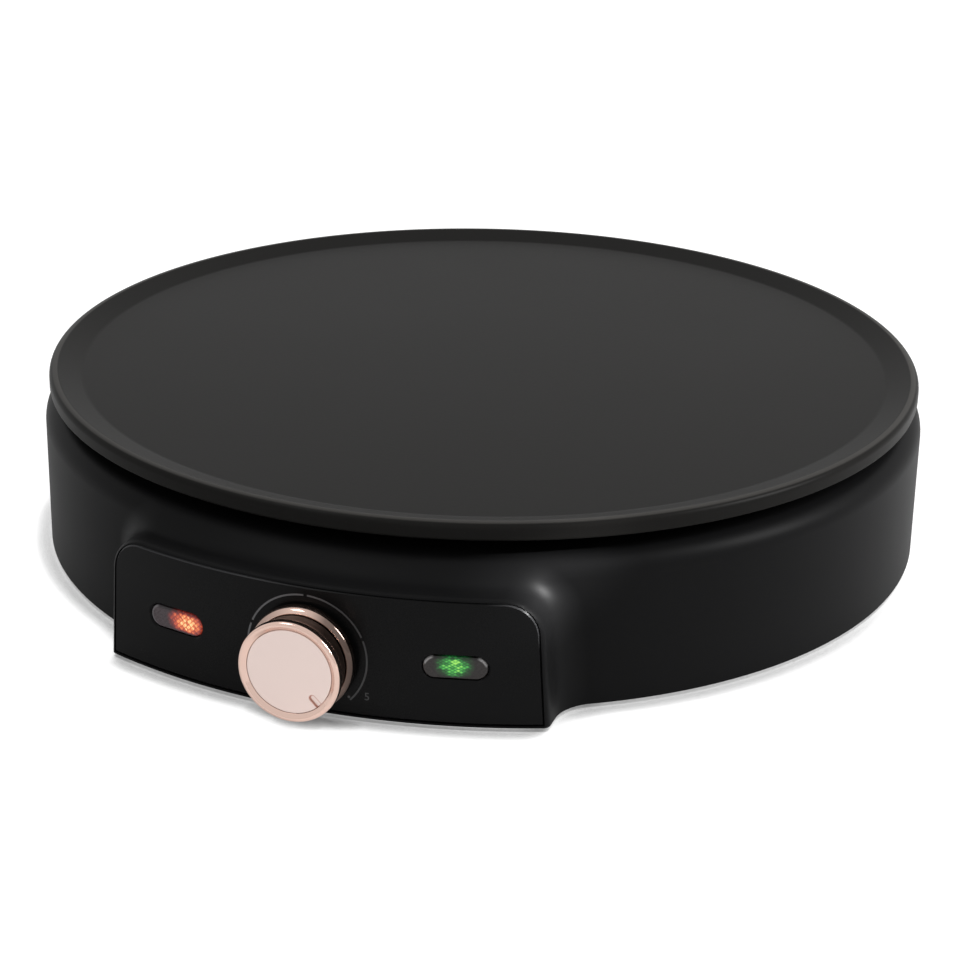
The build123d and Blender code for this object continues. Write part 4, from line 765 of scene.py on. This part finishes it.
class CREPE_OT_plate(bpy.types.Operator):
    """Cooking plate with its rim, lip, heater ridge and pillars"""

    bl_idname = "crepe.plate"
    bl_label = "Cooking plate"

    def execute(self, context):
        plate, looks = settings(context, "plate", "looks")
        lip_in = plate.lip_radius - plate.lip_wall
        heater = plate.heater_radius
        ridge_out, ridge_in = heater + plate.ridge_width / 2, heater - plate.ridge_width / 2
        groove_out, groove_in = heater + plate.groove_radius, heater - plate.groove_radius
        groove_top = plate.ridge_z + plate.groove_radius
        points = [
            (0, plate.surface_z), (plate.surface_radius, plate.surface_z),
            (plate.crest_radius, plate.crest_z), (plate.radius, plate.crest_z),
            (plate.radius, plate.under_z), (plate.lip_radius, plate.under_z),
            (plate.lip_radius, plate.lip_z), (lip_in, plate.lip_z),
            (lip_in, plate.under_z), (ridge_out, plate.under_z),
            (ridge_out, plate.ridge_z), (groove_out, plate.ridge_z),
            (groove_out, groove_top), (groove_in, groove_top),
            (groove_in, plate.ridge_z), (ridge_in, plate.ridge_z),
            (ridge_in, plate.under_z), (0, plate.under_z),
        ]
        rounds = [
            (1, plate.slope_round), (2, plate.rim_round), (3, plate.rim_round - HAIR),
            (4, plate.skirt_round), (5, plate.lip_root), (6, plate.lip_round),
            (7, plate.lip_round), (8, plate.lip_root),
            (12, plate.groove_radius - HAIR), (13, plate.groove_radius - HAIR),
        ]
        bm = spin(wire(points, rounds, 7), 256)
        for degree in (45, 135, 225, 315):
            turn = math.radians(degree)
            centre = plate.pillar_circle * math.cos(turn), plate.pillar_circle * math.sin(turn), 0
            pillar = cylinder(plate.pillar_radius, plate.pillar_z, plate.under_z + BITE)
            merge_into(bm, moved(pillar, centre))
        material = plate_coating("plate_coating_finish", looks, plate)
        make_piece("plate_casting", bm, material, "base", ["cooking_plate"], 50)
        return {"FINISHED"}


# Drum

FAN_CENTRE = (140.0, 36.0)      # inside the drum's shoulder: every surface point is seen from it
FAN_STEPS = ((11.0, 2.4), (20.0, 1.0), (80.0, 1.5), (113.0, 8.0))   # up to a degree, by steps
FAN_REACH = 65.0                # from there, beyond every surface point
WALL_START = 120.0              # radius from which the wall is searched outward
HALVINGS = 22                   # of the search for a surface point
WALL_STEP = 1.45
FRONT_SECTOR = 40.0             # degrees to either side that hold the housing
SECTORS = ((8, 8), (13, 52), (38, 38), (13, 52), (8, 8), (280, 140))    # degrees, steps
BEHIND, AHEAD = -12.0, 4.0      # how far the openings are cut behind and before the front
HALF_SPAN = 76.0                # beyond the housing's half width, on its front


def rounded_join(first, second, radius):
    """Distance to what two solids share, its edge rounded."""
    a, b = first + radius, second + radius
    return min(max(a, b), 0.0) + math.hypot(max(a, 0.0), max(b, 0.0)) - radius


def drum_distance(drum, x, y, z):
    """Distance to the drum blended with its control housing, negative inside."""
    body = rounded_join(math.hypot(x, y) - drum.radius, z - drum.top_z, drum.shoulder)
    if y > 0.0:
        return body
    lean = math.cos(drum.draft), math.sin(drum.draft)
    side = (abs(x) - drum.half_width) * lean[0] + (z - drum.edge_z) * lean[1]
    profile = rounded_join(side, z - drum.housing_z, drum.corner)
    face = math.hypot(x, y - drum.face_centre) - drum.face_radius
    housing = rounded_join(profile, face, drum.edge_round)
    near = max(drum.blend - body, 0.0), max(drum.blend - housing, 0.0)
    return max(drum.blend, min(body, housing)) - math.hypot(*near)


def surface_point(drum, start, heading, turn, depth=0.0):
    """Where a line in the section at a turn from the front meets a depth under the surface."""
    near, far = 0.0, FAN_REACH
    for _ in range(HALVINGS):
        middle = (near + far) / 2
        radius, height = start[0] + heading[0] * middle, start[1] + heading[1] * middle
        x, y = radius * math.sin(turn), -radius * math.cos(turn)
        inside = drum_distance(drum, x, y, height) < -depth
        near, far = (middle, far) if inside else (near, middle)
    return x, y, height


def shrink_wrap(verts, drum, depth):
    """Moves vertices of the drum's wall, shoulder and deck to a depth under the blended surface."""
    for vert in verts:
        x, y, z = vert.co
        start, heading = (WALL_START, z), (1.0, 0.0)
        if z >= FAN_CENTRE[1]:
            start = FAN_CENTRE
            heading = Vector((math.hypot(x, y) - FAN_CENTRE[0], z - FAN_CENTRE[1])).normalized()
        vert.co = surface_point(drum, start, heading, math.atan2(x, -y), depth)


def drum_wire(drum):
    """Section of the drum's outer sheet, dense where the housing's edges will be."""
    points = []
    height = drum.edge_z
    while height < FAN_CENTRE[1]:
        points.append((drum.radius, height))
        height += WALL_STEP
    turn = 0.0
    for limit, step in FAN_STEPS:
        while turn < limit:
            heading = math.cos(math.radians(turn)), math.sin(math.radians(turn))
            points.append(surface_point(drum, FAN_CENTRE, heading, math.pi)[1:])
            turn += step
    well = [(drum.well_radius, drum.top_z), (drum.well_radius, drum.well_z), (0.0, drum.well_z)]
    return wire(points + well)


def drum_shell(drum):
    """Drum, housing and well as a closed shell of one wall."""
    bm = moved(drum_wire(drum), Matrix.Rotation(math.radians(-90 - FRONT_SECTOR), 4, "Z"))
    section = bm.verts[:] + bm.edges[:]
    for angle, steps in SECTORS:
        section = sweep(bm, section, math.radians(angle), steps)
    bmesh.ops.remove_doubles(bm, verts=bm.verts, dist=1e-3)
    bmesh.ops.recalc_face_normals(bm, faces=bm.faces)
    outer = bm.verts[:]
    lining = bmesh.ops.duplicate(bm, geom=bm.faces[:])["geom"]
    bmesh.ops.reverse_faces(bm, faces=only(lining, bmesh.types.BMFace))
    beyond_well = drum.well_radius + HAIR
    well, wall, front = [], [], []
    for vert in only(lining, bmesh.types.BMVert):
        (wall if vert.co.xy.length > beyond_well else well).append(vert)
    for vert in outer:
        turned = math.degrees(abs(math.atan2(vert.co.x, -vert.co.y)))
        if vert.co.xy.length > beyond_well and turned < FRONT_SECTOR:
            front.append(vert)
    grown = (drum.well_radius + drum.wall) / drum.well_radius
    for vert in well:
        vert.co = vert.co.x * grown, vert.co.y * grown, vert.co.z - drum.wall
    shrink_wrap(front, drum, 0.0)
    shrink_wrap(wall, drum, drum.wall)
    bmesh.ops.bridge_loops(bm, edges=[edge for edge in bm.edges if edge.is_boundary])
    bmesh.ops.recalc_face_normals(bm, faces=bm.faces)
    return bm


def front_sheet(drum, inset, bottom):
    """Flat outline of the housing's front, inset at its sides and top, unrolled."""
    top = drum.housing_z - inset
    low, high = (
        drum.half_width - inset / math.cos(drum.draft) - (z - drum.edge_z) * math.tan(drum.draft)
        for z in (bottom, top)
    )
    bm = bmesh.new()
    corners = [(-low, bottom), (low, bottom), (high, top), (-high, top)]
    radius = drum.face_radius
    verts = [bm.verts.new((radius * math.asin(x / radius), z, 0.0)) for x, z in corners]
    for start, end in zip(verts, verts[1:] + verts[:1]):
        bm.edges.new((start, end))
    for vert in verts[2:]:
        round_corner(bm, vert, drum.corner - inset, 12)
    return bm


def lamp_opening(drum, lamp, side):
    """Flat outline of the opening that holds a lens, unrolled."""
    bm = slot_sheet(lamp.length + 2 * lamp.gap, lamp.width + 2 * lamp.gap)
    return moved(bm, (side * lamp.angle * drum.face_radius, lamp.height, 0))


def recess_cutter(drum, panel):
    """Solid of the panel's recess in the housing's front."""
    bm = front_sheet(drum, panel.margin, drum.edge_z + panel.ledge)
    bmesh.ops.contextual_create(bm, geom=bm.edges[:])
    thicken(bm, -panel.thickness, AHEAD)
    slice_front(bm, 1.0)
    return onto_front(bm, drum)


class CREPE_OT_drum(bpy.types.Operator):
    """Drum with its control housing, panel recess and well"""

    bl_idname = "crepe.drum"
    bl_label = "Drum"

    def execute(self, context):
        drum, panel, lamp, looks = settings(context, "drum", "panel", "lamp", "looks")
        gland = Matrix.Translation((0, 0, drum.gland_z)) @ Matrix.Rotation(-math.pi / 2, 4, "X")
        overlap = 1.0
        hole = cylinder(drum.gland_seat - overlap, drum.radius - 12, drum.radius + 8, 64)
        cutters = [recess_cutter(drum, panel), moved(hole, gland)]
        for side in (-1, 1):
            cutters.append(onto_front(thicken(lamp_opening(drum, lamp, side), BEHIND, AHEAD), drum))
        cutters.append(moved(cylinder(panel.bush_hole, BEHIND, AHEAD), KNOB_PLACE))
        bm = carve(drum_shell(drum), cutters)
        low, high = drum.gland_seat_y - drum.gland_seat_wall, drum.gland_seat_y
        inner, outer = drum.gland_hole, drum.gland_seat
        ring = [(inner, low), (outer, low), (outer, high), (inner, high), (inner, low)]
        merge_into(bm, moved(spin(wire(ring, [(2, drum.gland_seat_round)], 3), 64), gland))
        material = moulded(
            "satin_black_finish", looks.drum_colour, looks.drum_roughness, grain=0.5, depth=0.006,
            reflection=looks.drum_reflection,
        )
        make_piece("drum_body", bm, material, "base", ["base_shell"], 38)
        return {"FINISHED"}


# Panel

class CREPE_OT_panel(bpy.types.Operator):
    """Control panel set into the housing's curved front"""

    bl_idname = "crepe.panel"
    bl_label = "Control panel"

    def execute(self, context):
        drum, panel, lamp, looks = settings(context, "drum", "panel", "lamp", "looks")
        bottom = drum.edge_z + panel.ledge + panel.groove
        bm = front_sheet(drum, panel.margin + panel.groove, bottom)
        for side in (-1, 1):
            hole = lamp_opening(drum, lamp, side)
            bmesh.ops.delete(hole, geom=hole.faces[:], context="FACES_ONLY")
            merge_into(bm, hole)
        bush = bmesh.new()
        bmesh.ops.create_circle(bush, segments=48, radius=panel.bush_hole)
        merge_into(bm, moved(bush, (0, KNOB_AXIS.z, 0)))
        bmesh.ops.triangle_fill(bm, edges=bm.edges[:], use_beauty=True)
        thicken(bm, -panel.thickness, 0.0)
        bevel(bm, front_edges(bm, 0.0), panel.edge, 1)
        bm.normal_update()
        chamfer = bm.faces.layers.float.new(CHAMFER)    # faces between the front and the sides
        for face in bm.faces:
            face[chamfer] = float(0.2 < face.normal.z < 0.95)
        slice_front(bm, 1.5)
        material = panel_black("panel_black_finish", looks)
        onto_front(bm, drum)
        inlay = make_piece("panel_inlay", bm, material, "base", ["control_panel"], 40)
        inlay.modifiers[0].mode = "CORNER_ANGLE"
        return {"FINISHED"}


class CREPE_OT_dial(bpy.types.Operator):
    """Printed arcs, dot and digits round the knob"""

    bl_idname = "crepe.dial"
    bl_label = "Dial print"

    def execute(self, context):
        drum, panel, looks = settings(context, "drum", "panel", "looks")
        material = dial_ink("dial_ink_finish", looks.ink_colour)
        dot = cylinder(panel.dot_radius, 0.0, panel.print_height, 20)
        prints = {"dial_arcs": moved(dot, from_top(panel.dot_circle, panel.dot_angle))}
        quarter = panel.dial_sweep / 2
        inner = panel.dial_radius - panel.dial_line / 2
        for index in range(4):
            arc = bmesh.new()
            ends = inner, inner + panel.dial_line
            arc.edges.new([arc.verts.new((0, radius, 0)) for radius in ends])
            start = index * quarter - panel.dial_sweep + panel.dial_gap / 2
            moved(arc, Matrix.Rotation(-start, 4, "Z"))
            sweep(arc, arc.verts[:] + arc.edges[:], panel.dial_gap - quarter, 40)
            merge_into(prints["dial_arcs"], thicken(arc, 0.0, panel.print_height))
        for name, digit, side in (("dial_low", "1", -1), ("dial_high", "5", 1)):
            bm = thicken(digit_sheet(digit, panel.digit_size), 0.0, panel.print_height)
            prints[name] = moved(bm, from_top(panel.digit_radius, side * panel.digit_angle))
        for name, bm in prints.items():
            moved(bm, (0, KNOB_AXIS.z, 0))
            make_piece(name, onto_front(bm, drum), material)
        return {"FINISHED"}


def from_top(radius, angle):
    """Point of the dial at an angle from its top, clockwise."""
    return radius * math.sin(angle), radius * math.cos(angle), 0


def digit_sheet(digit, size):
    """Flat digit, centred, as a merged mesh in XY."""
    text = bpy.data.curves.new("digit", "FONT")
    text.body, text.size, text.fill_mode = digit, size, "FRONT"
    text.align_x = text.align_y = "CENTER"
    holder = add_object("digit", text)
    graph = bpy.context.evaluated_depsgraph_get()
    mesh = bpy.data.meshes.new_from_object(holder.evaluated_get(graph))
    bm = bmesh.new()
    bm.from_mesh(mesh)
    bpy.data.objects.remove(holder)
    bpy.data.curves.remove(text)
    bpy.data.meshes.remove(mesh)
    bmesh.ops.remove_doubles(bm, verts=bm.verts, dist=NEAR)
    return bm


# Lamps

LENSES = {
    "red": SimpleNamespace(
        side=-1, node="red_lens", slot="lens_red", weave=(1.35, 1.35, 0.6, 0.6),
        along=4.2, up=0.3, glow_width=8.2, glow_height=5.4, smoke=(0.072, 0.052, 0.059),
        # rim: colour of the painted highlight at the lens's ends
        rim=(0.17, 0.155, 0.165), rim_low=-3.2, rim_ends=0.0,
        stops=(
            (0.0, (0.0, 0.0, 0.0)), (0.1, (0.16, 0.012, 0.008)), (0.34, (0.62, 0.09, 0.03)),
            (0.62, (0.95, 0.28, 0.07)), (1.0, (1.0, 0.78, 0.36)),
        ),
    ),
    "green": SimpleNamespace(
        side=1, node="green_lens", slot="lens_green", weave=(0.55, 1.05, 0.55, 1.05),
        along=-0.3, up=1.0, glow_width=6.6, glow_height=5.8, smoke=(0.03, 0.025, 0.024),
        # rim: colour of the painted highlight at the lens's ends
        rim=(0.4, 0.39, 0.39), rim_low=0.4, rim_ends=40.0,
        stops=(
            (0.0, (0.0, 0.0, 0.0)), (0.1, (0.0, 0.035, 0.006)), (0.34, (0.012, 0.2, 0.03)),
            (0.62, (0.07, 0.48, 0.07)), (1.0, (0.34, 0.78, 0.12)),
        ),
    ),
}


class CREPE_OT_lamps(bpy.types.Operator):
    """Prismatic lenses of the two indicator lamps"""

    bl_idname = "crepe.lamps"
    bl_label = "Lamps"

    def execute(self, context):
        drum, lamp = settings(context, "drum", "lamp")
        for name, lens in LENSES.items():
            bm = thicken(slot_sheet(lamp.length, lamp.width), -lamp.seat, -lamp.sink)
            bevel(bm, front_edges(bm, -lamp.sink), lamp.edge, 4)
            self.cut_prisms(bm, lamp)
            flange = slot_sheet(lamp.length + 2 * lamp.flange, lamp.width + 2 * lamp.flange)
            merge_into(bm, thicken(flange, -lamp.seat - lamp.flange_wall, lamp.overlap - lamp.seat))
            turn = lens.side * lamp.angle
            out = Vector((math.sin(turn), -math.cos(turn), 0))
            centre = Vector((0, drum.face_centre, lamp.height)) + out * drum.face_radius
            upright = Matrix.Rotation(turn, 4, "Z") @ Matrix.Rotation(math.pi / 2, 4, "X")
            moved(bm, Matrix.Translation(centre) @ upright)
            material = lamp_lens(f"{name}_lens_finish", lens, lamp, turn, centre * MM)
            make_piece(f"{name}_prism_lens", bm, material, "base", [lens.node], 4)
        return {"FINISHED"}

    def cut_prisms(self, bm, lamp):
        """Raises a field of small pyramids on the lens's front."""
        front = -lamp.sink - NEAR
        count = int(lamp.length / lamp.facet)
        for axis in ((1, 1, 0), (1, -1, 0)):
            for i in range(-count, count + 1):
                faces = [face for face in bm.faces if all(vert.co.z > front for vert in face.verts)]
                geom = {item for face in faces for item in (*face.verts, *face.edges, face)}
                cut(bm, list(geom), Vector(axis).normalized(), i * lamp.facet)
        half_straight = (lamp.length - lamp.width) / 2
        keep = lamp.width / 2 - lamp.edge - lamp.border
        for vert in bm.verts:
            x, y, z = vert.co
            grid = [value / math.sqrt(2.0) / lamp.facet for value in (x + y, x - y)]
            on_grid = all(abs(value - round(value)) < 0.02 and round(value) % 2 for value in grid)
            inside = math.hypot(max(abs(x) - half_straight, 0.0), y) < keep
            if z >= front and inside and on_grid:
                vert.co.z -= lamp.facet_depth


# Knob

class CREPE_OT_knob(bpy.types.Operator):
    """Polished knob and its satin disc with the pointer's notch"""

    bl_idname = "crepe.knob"
    bl_label = "Knob"

    def execute(self, context):
        drum, knob, looks = settings(context, "drum", "knob", "looks")
        flange_front, head_back = knob.gap + knob.flange, knob.reach - knob.head
        seat = knob.reach - knob.disc_sink
        floor = seat - knob.disc
        bore_end = knob.gap + knob.bore_depth
        pocket = knob.disc_radius + knob.disc_gap
        points = [
            (0, bore_end), (knob.bore, bore_end), (knob.bore, knob.gap),
            (knob.flange_radius, knob.gap), (knob.flange_radius, flange_front),
            (knob.neck_radius, flange_front - knob.flange_dish),
            (knob.neck_radius, head_back + knob.head_dish), (knob.head_radius, head_back),
            (knob.head_radius, knob.reach), (knob.crest_radius, knob.reach),
            (pocket, seat - knob.disc_gap), (pocket, floor), (0, floor),
        ]
        rounds = [
            (3, knob.rear_round), (4, knob.flange_round), (5, knob.neck_round),
            (6, knob.neck_round), (7, knob.head_round), (8, knob.front_round),
            (9, knob.crest_round), (10, knob.disc_gap * 1.2),
        ]
        bm = moved(spin(wire(points, rounds, 8), 160), KNOB_PLACE)
        polished = plating("rose_gold_finish", looks.polished_colour, knob, drum)
        make_piece("knob_turning", bm, polished, "knob", ["knob_body"], 40)
        self.disc(knob, looks, seat, floor)
        return {"FINISHED"}

    def disc(self, knob, looks, seat, floor):
        """Satin disc, notched from its edge for the pointer."""
        points = [(0, seat), (knob.disc_radius, seat), (knob.disc_radius, floor), (0, floor)]
        bm = spin(wire(points, [(1, knob.disc_round)], 3), 128)
        outer = knob.disc_radius + knob.pointer_width
        notch = slot_sheet(outer - knob.pointer_in + knob.pointer_width, knob.pointer_width)
        thicken(notch, seat - knob.pointer_depth, seat + 2.0)
        moved(notch, ((outer + knob.pointer_in + knob.pointer_width / 2) / 2, 0, 0))
        moved(notch, Matrix.Rotation(math.pi / 2 - knob.pointer_angle, 4, "Z"))
        bm = moved(carve(bm, [notch]), KNOB_PLACE)
        satin = satin_disc("rose_satin_finish", looks.satin_colour, knob)
        disc = make_piece("knob_face", bm, satin, "knob", ["knob_disc"], 30)
        soft = disc.modifiers.new("notch edge", "BEVEL")
        soft.width, soft.segments = knob.pointer_round * MM, 2
        soft.limit_method, soft.angle_limit = "ANGLE", math.radians(50)
        disc.modifiers.move(1, 0)


# Carried-over pieces

def soften(node):
    """Shades a CAD node's tangent faces as one surface and keeps its true edges sharp."""
    mesh = node.data
    normals = mesh.attributes.get("custom_normal")
    if normals:
        mesh.attributes.remove(normals)
    mesh.shade_smooth()
    node.modifiers.new("weld", "WELD").merge_threshold = 1e-6
    split = node.modifiers.new("edges", "EDGE_SPLIT")
    split.split_angle = math.radians(30)
    split.use_edge_sharp = False
    node.modifiers.new("normals", "WEIGHTED_NORMAL")


class CREPE_OT_finishes(bpy.types.Operator):
    """Gives every carried-over piece its finish"""

    bl_idname = "crepe.finishes"
    bl_label = "Finishes"

    def execute(self, context):
        rubber, nylon, cover = (0.012, 0.012, 0.012), (0.008, 0.008, 0.0085), (0.0065, 0.0065, 0.007)
        made = {
            "lamp_white": moulded("lamp_white_finish", (0.72, 0.71, 0.68), 0.45),
            "bulb_glass": bulb_glass("bulb_glass_finish", (0.95, 0.85, 0.7)),
            "ceramic": moulded("ceramic_finish", (0.8, 0.78, 0.72), 0.35, 0.6, 0.01),
            "steel": metal("zinc_steel_finish", (0.58, 0.58, 0.57), 0.3, 0.4, 0.004),
            "sheath": metal("sheath_finish", (0.24, 0.22, 0.2), 0.42, 0.6, 0.006, 0.8),
            "reflector_steel": metal("reflector_finish", (0.72, 0.72, 0.71), 0.24, 0.8, 0.004),
            "brass": metal("brass_finish", (0.72, 0.56, 0.3), 0.28, 0.3, 0.003),
            "copper": metal("copper_finish", (0.76, 0.42, 0.28), 0.3, 0.3, 0.003, 0.85),
            "rubber_black": moulded("rubber_black_finish", rubber, 0.7, 0.6, 0.02, 0.3),
            "gland_black": moulded("gland_black_finish", nylon, 0.45, reflection=0.3),
            "satin_black": moulded("cover_black_finish", cover, 0.5, 0.6, 0.015, 0.25),
            "block_white": moulded("block_white_finish", (0.76, 0.74, 0.68), 0.4),
            "wire_brown": moulded("wire_brown_finish", (0.16, 0.07, 0.035), 0.45, 0.6),
            "wire_blue": moulded("wire_blue_finish", (0.03, 0.1, 0.36), 0.45, 0.6),
            "wire_earth": striped_wire("wire_earth_finish", (0.1, 0.32, 0.03), (0.7, 0.6, 0.03)),
            "wire_white": moulded("wire_white_finish", (0.7, 0.69, 0.65), 0.5, 0.8, 0.02),
            "rose_gold": metal("shaft_gold_finish", (0.78, 0.54, 0.46), 0.2),
        }
        for name, node in NODES.items():
            if not node.hide_render:
                node.data.materials.clear()
                node.data.materials.append(made[SLOT_OF[name]])
                soften(node)
        return {"FINISHED"}


# Stage. Places are in metres.

CENTRE = (0, 0, 0.02)                   # what the two soft lamps look at
CORNER = (0.0666, -0.1395, 0.0413)      # the housing's corner, which the narrow lamp picks out
FULL_SHADOW, NO_SHADOW = 0.42, 0.69     # openness of the floor where the shadow starts and ends


def aimed(name, data, place, target):
    """Camera or lamp at a place, turned to its target."""
    item = add_object(name, data)
    item.location = place
    item.rotation_mode = "QUATERNION"
    item.rotation_quaternion = (Vector(target) - Vector(place)).to_track_quat("-Z", "Y")
    return item


def lamp_data(name, kind, power, **values):
    """Light of a kind, its power in watts, with its other values."""
    data = bpy.data.lights.new(name, kind)
    data.energy = power
    for key, value in values.items():
        setattr(data, key, value)
    return data


class CREPE_OT_stage(bpy.types.Operator):
    """Sets the camera, the lamps, the floor and the surroundings"""

    bl_idname = "crepe.stage"
    bl_label = "Stage"

    def execute(self, context):
        scene = context.scene
        stage = scene.crepe_stage
        self.camera(scene, stage)
        self.surroundings(scene, stage)
        self.floor(stage)
        key = lamp_data("key", "AREA", stage.key, shape="RECTANGLE", size=0.2, size_y=0.45)
        fill = lamp_data("fill", "AREA", stage.fill, shape="RECTANGLE", size=0.4, size_y=0.4)
        cone = {"spot_size": math.radians(1.7), "spot_blend": 1.0, "shadow_soft_size": 0.01}
        accent = lamp_data("accent", "SPOT", stage.accent, **cone)
        aimed("key", key, (0.98, 0.08, 0.66), CENTRE)
        aimed("fill", fill, (-0.55, -0.55, 1.3), CENTRE)
        aimed("accent", accent, (0.84, -0.09, 0.49), CORNER)
        return {"FINISHED"}

    def camera(self, scene, stage):
        """Camera at its distance from the aim point, turned by its roll."""
        data = bpy.data.cameras.new("camera")
        data.lens, data.sensor_width, data.clip_start = stage.lens, 36.0, 0.05
        turn = Matrix.Rotation(stage.azimuth, 4, "Z")
        aim = turn @ Vector((stage.aim_side, 0, stage.aim_height))
        back = turn @ Vector((0, -math.cos(stage.elevation), math.sin(stage.elevation)))
        scene.camera = aimed("camera", data, aim + back * stage.distance, aim)
        facing = (-back).to_track_quat("-Z", "Y").to_matrix().to_4x4()
        rolled = facing @ Matrix.Rotation(stage.roll, 4, "Z")
        scene.camera.rotation_quaternion = rolled.to_quaternion()
        scene.view_settings.view_transform = "Standard"

    def surroundings(self, scene, stage):
        """White where it is seen, directly or in a gloss, and plain soft light elsewhere."""
        sky = Finish("surroundings", "worlds", "ShaderNodeOutputWorld")
        strength = sky.spread(sky.seen(), stage.surround, stage.mirrored).larger(sky.ray("Camera"))
        white = {"Color": (1.0, 1.0, 1.0), "Strength": strength}
        scene.world = sky.done(sky.add("ShaderNodeBackground", {}, white))

    def floor(self, stage):
        """White floor that keeps the object's shadow and is clear from below."""
        bm = bmesh.new()
        bmesh.ops.create_grid(bm, x_segments=1, y_segments=1, size=3.0)
        floor = add_object("floor", mesh_of(bm, "floor"))
        finish = Finish("floor_finish")

        def diffuse(grey):
            return finish.add("ShaderNodeBsdfDiffuse", {}, {"Color": (grey, grey, grey)})

        def glowing(base, strength):
            glow = finish.add("ShaderNodeEmission", {}, {"Strength": strength})
            return finish.add("ShaderNodeAddShader", {}, {0: base, 1: glow})

        def either(factor, first, second):
            return finish.add("ShaderNodeMixShader", {}, {0: factor, 1: first, 2: second})

        x, y, _ = finish.axes()
        ahead, behind = finish.edge(y, 10, -70), finish.edge(y, 50, 110)
        inward = {"X": (0.0 - x) * (ahead + behind), "Y": 0.15 - behind * 0.3, "Z": 0.08}
        inward = finish.add("ShaderNodeCombineXYZ", {}, inward)
        lean = finish.add("ShaderNodeVectorMath", {"operation": "NORMALIZE"}, {0: inward})
        inputs = {"Distance": stage.contact, "Normal": lean}
        lit = finish.add("ShaderNodeAmbientOcclusion", {"samples": 16}, inputs, output="AO")
        bright = finish.window(lit, FULL_SHADOW, NO_SHADOW) * 0.95 + 0.1
        direct, plain = glowing(diffuse(0.2), bright), diffuse(0.8)
        shader = either(finish.seen(), plain, glowing(plain, lit * 0.3))
        shader = either(finish.ray("Camera"), shader, direct)
        below = finish.add("ShaderNodeNewGeometry", output="Backfacing")
        shader = either(below, shader, finish.add("ShaderNodeBsdfTransparent"))
        floor.data.materials.append(finish.done(shader))


class CREPE_PT_panel(bpy.types.Panel):
    """Lists the steps in the order in which they run"""

    bl_idname = "CREPE_PT_panel"
    bl_label = "Crepe Maker"
    bl_space_type = "VIEW_3D"
    bl_region_type = "UI"
    bl_category = "Crepe Maker"

    def draw(self, context):
        for operator in STEPS:
            self.layout.operator(operator.bl_idname)


STEPS = (
    CREPE_OT_plate, CREPE_OT_drum, CREPE_OT_panel, CREPE_OT_dial, CREPE_OT_lamps, CREPE_OT_knob,
    CREPE_OT_finishes, CREPE_OT_stage,
)
GROUPS = {
    "crepe_plate": PlateShape, "crepe_drum": DrumShape, "crepe_panel": PanelShape,
    "crepe_lamp": LampShape, "crepe_knob": KnobShape, "crepe_looks": Looks,
    "crepe_stage": StageLooks,
}


def register():
    for cls in (*GROUPS.values(), *STEPS, CREPE_PT_panel):
        bpy.utils.register_class(cls)
    for name, group in GROUPS.items():
        setattr(bpy.types.Scene, name, PointerProperty(type=group))


def unregister():
    for name in GROUPS:
        delattr(bpy.types.Scene, name)
    for cls in (CREPE_PT_panel, *reversed(STEPS), *reversed(GROUPS.values())):
        bpy.utils.unregister_class(cls)


def main():
    register()
    bpy.ops.crepe.plate()
    bpy.ops.crepe.drum()
    bpy.ops.crepe.panel()
    bpy.ops.crepe.dial()
    bpy.ops.crepe.lamps()
    bpy.ops.crepe.knob()
    bpy.ops.crepe.finishes()
    bpy.ops.crepe.stage()


if __name__ == "__main__":
    main()
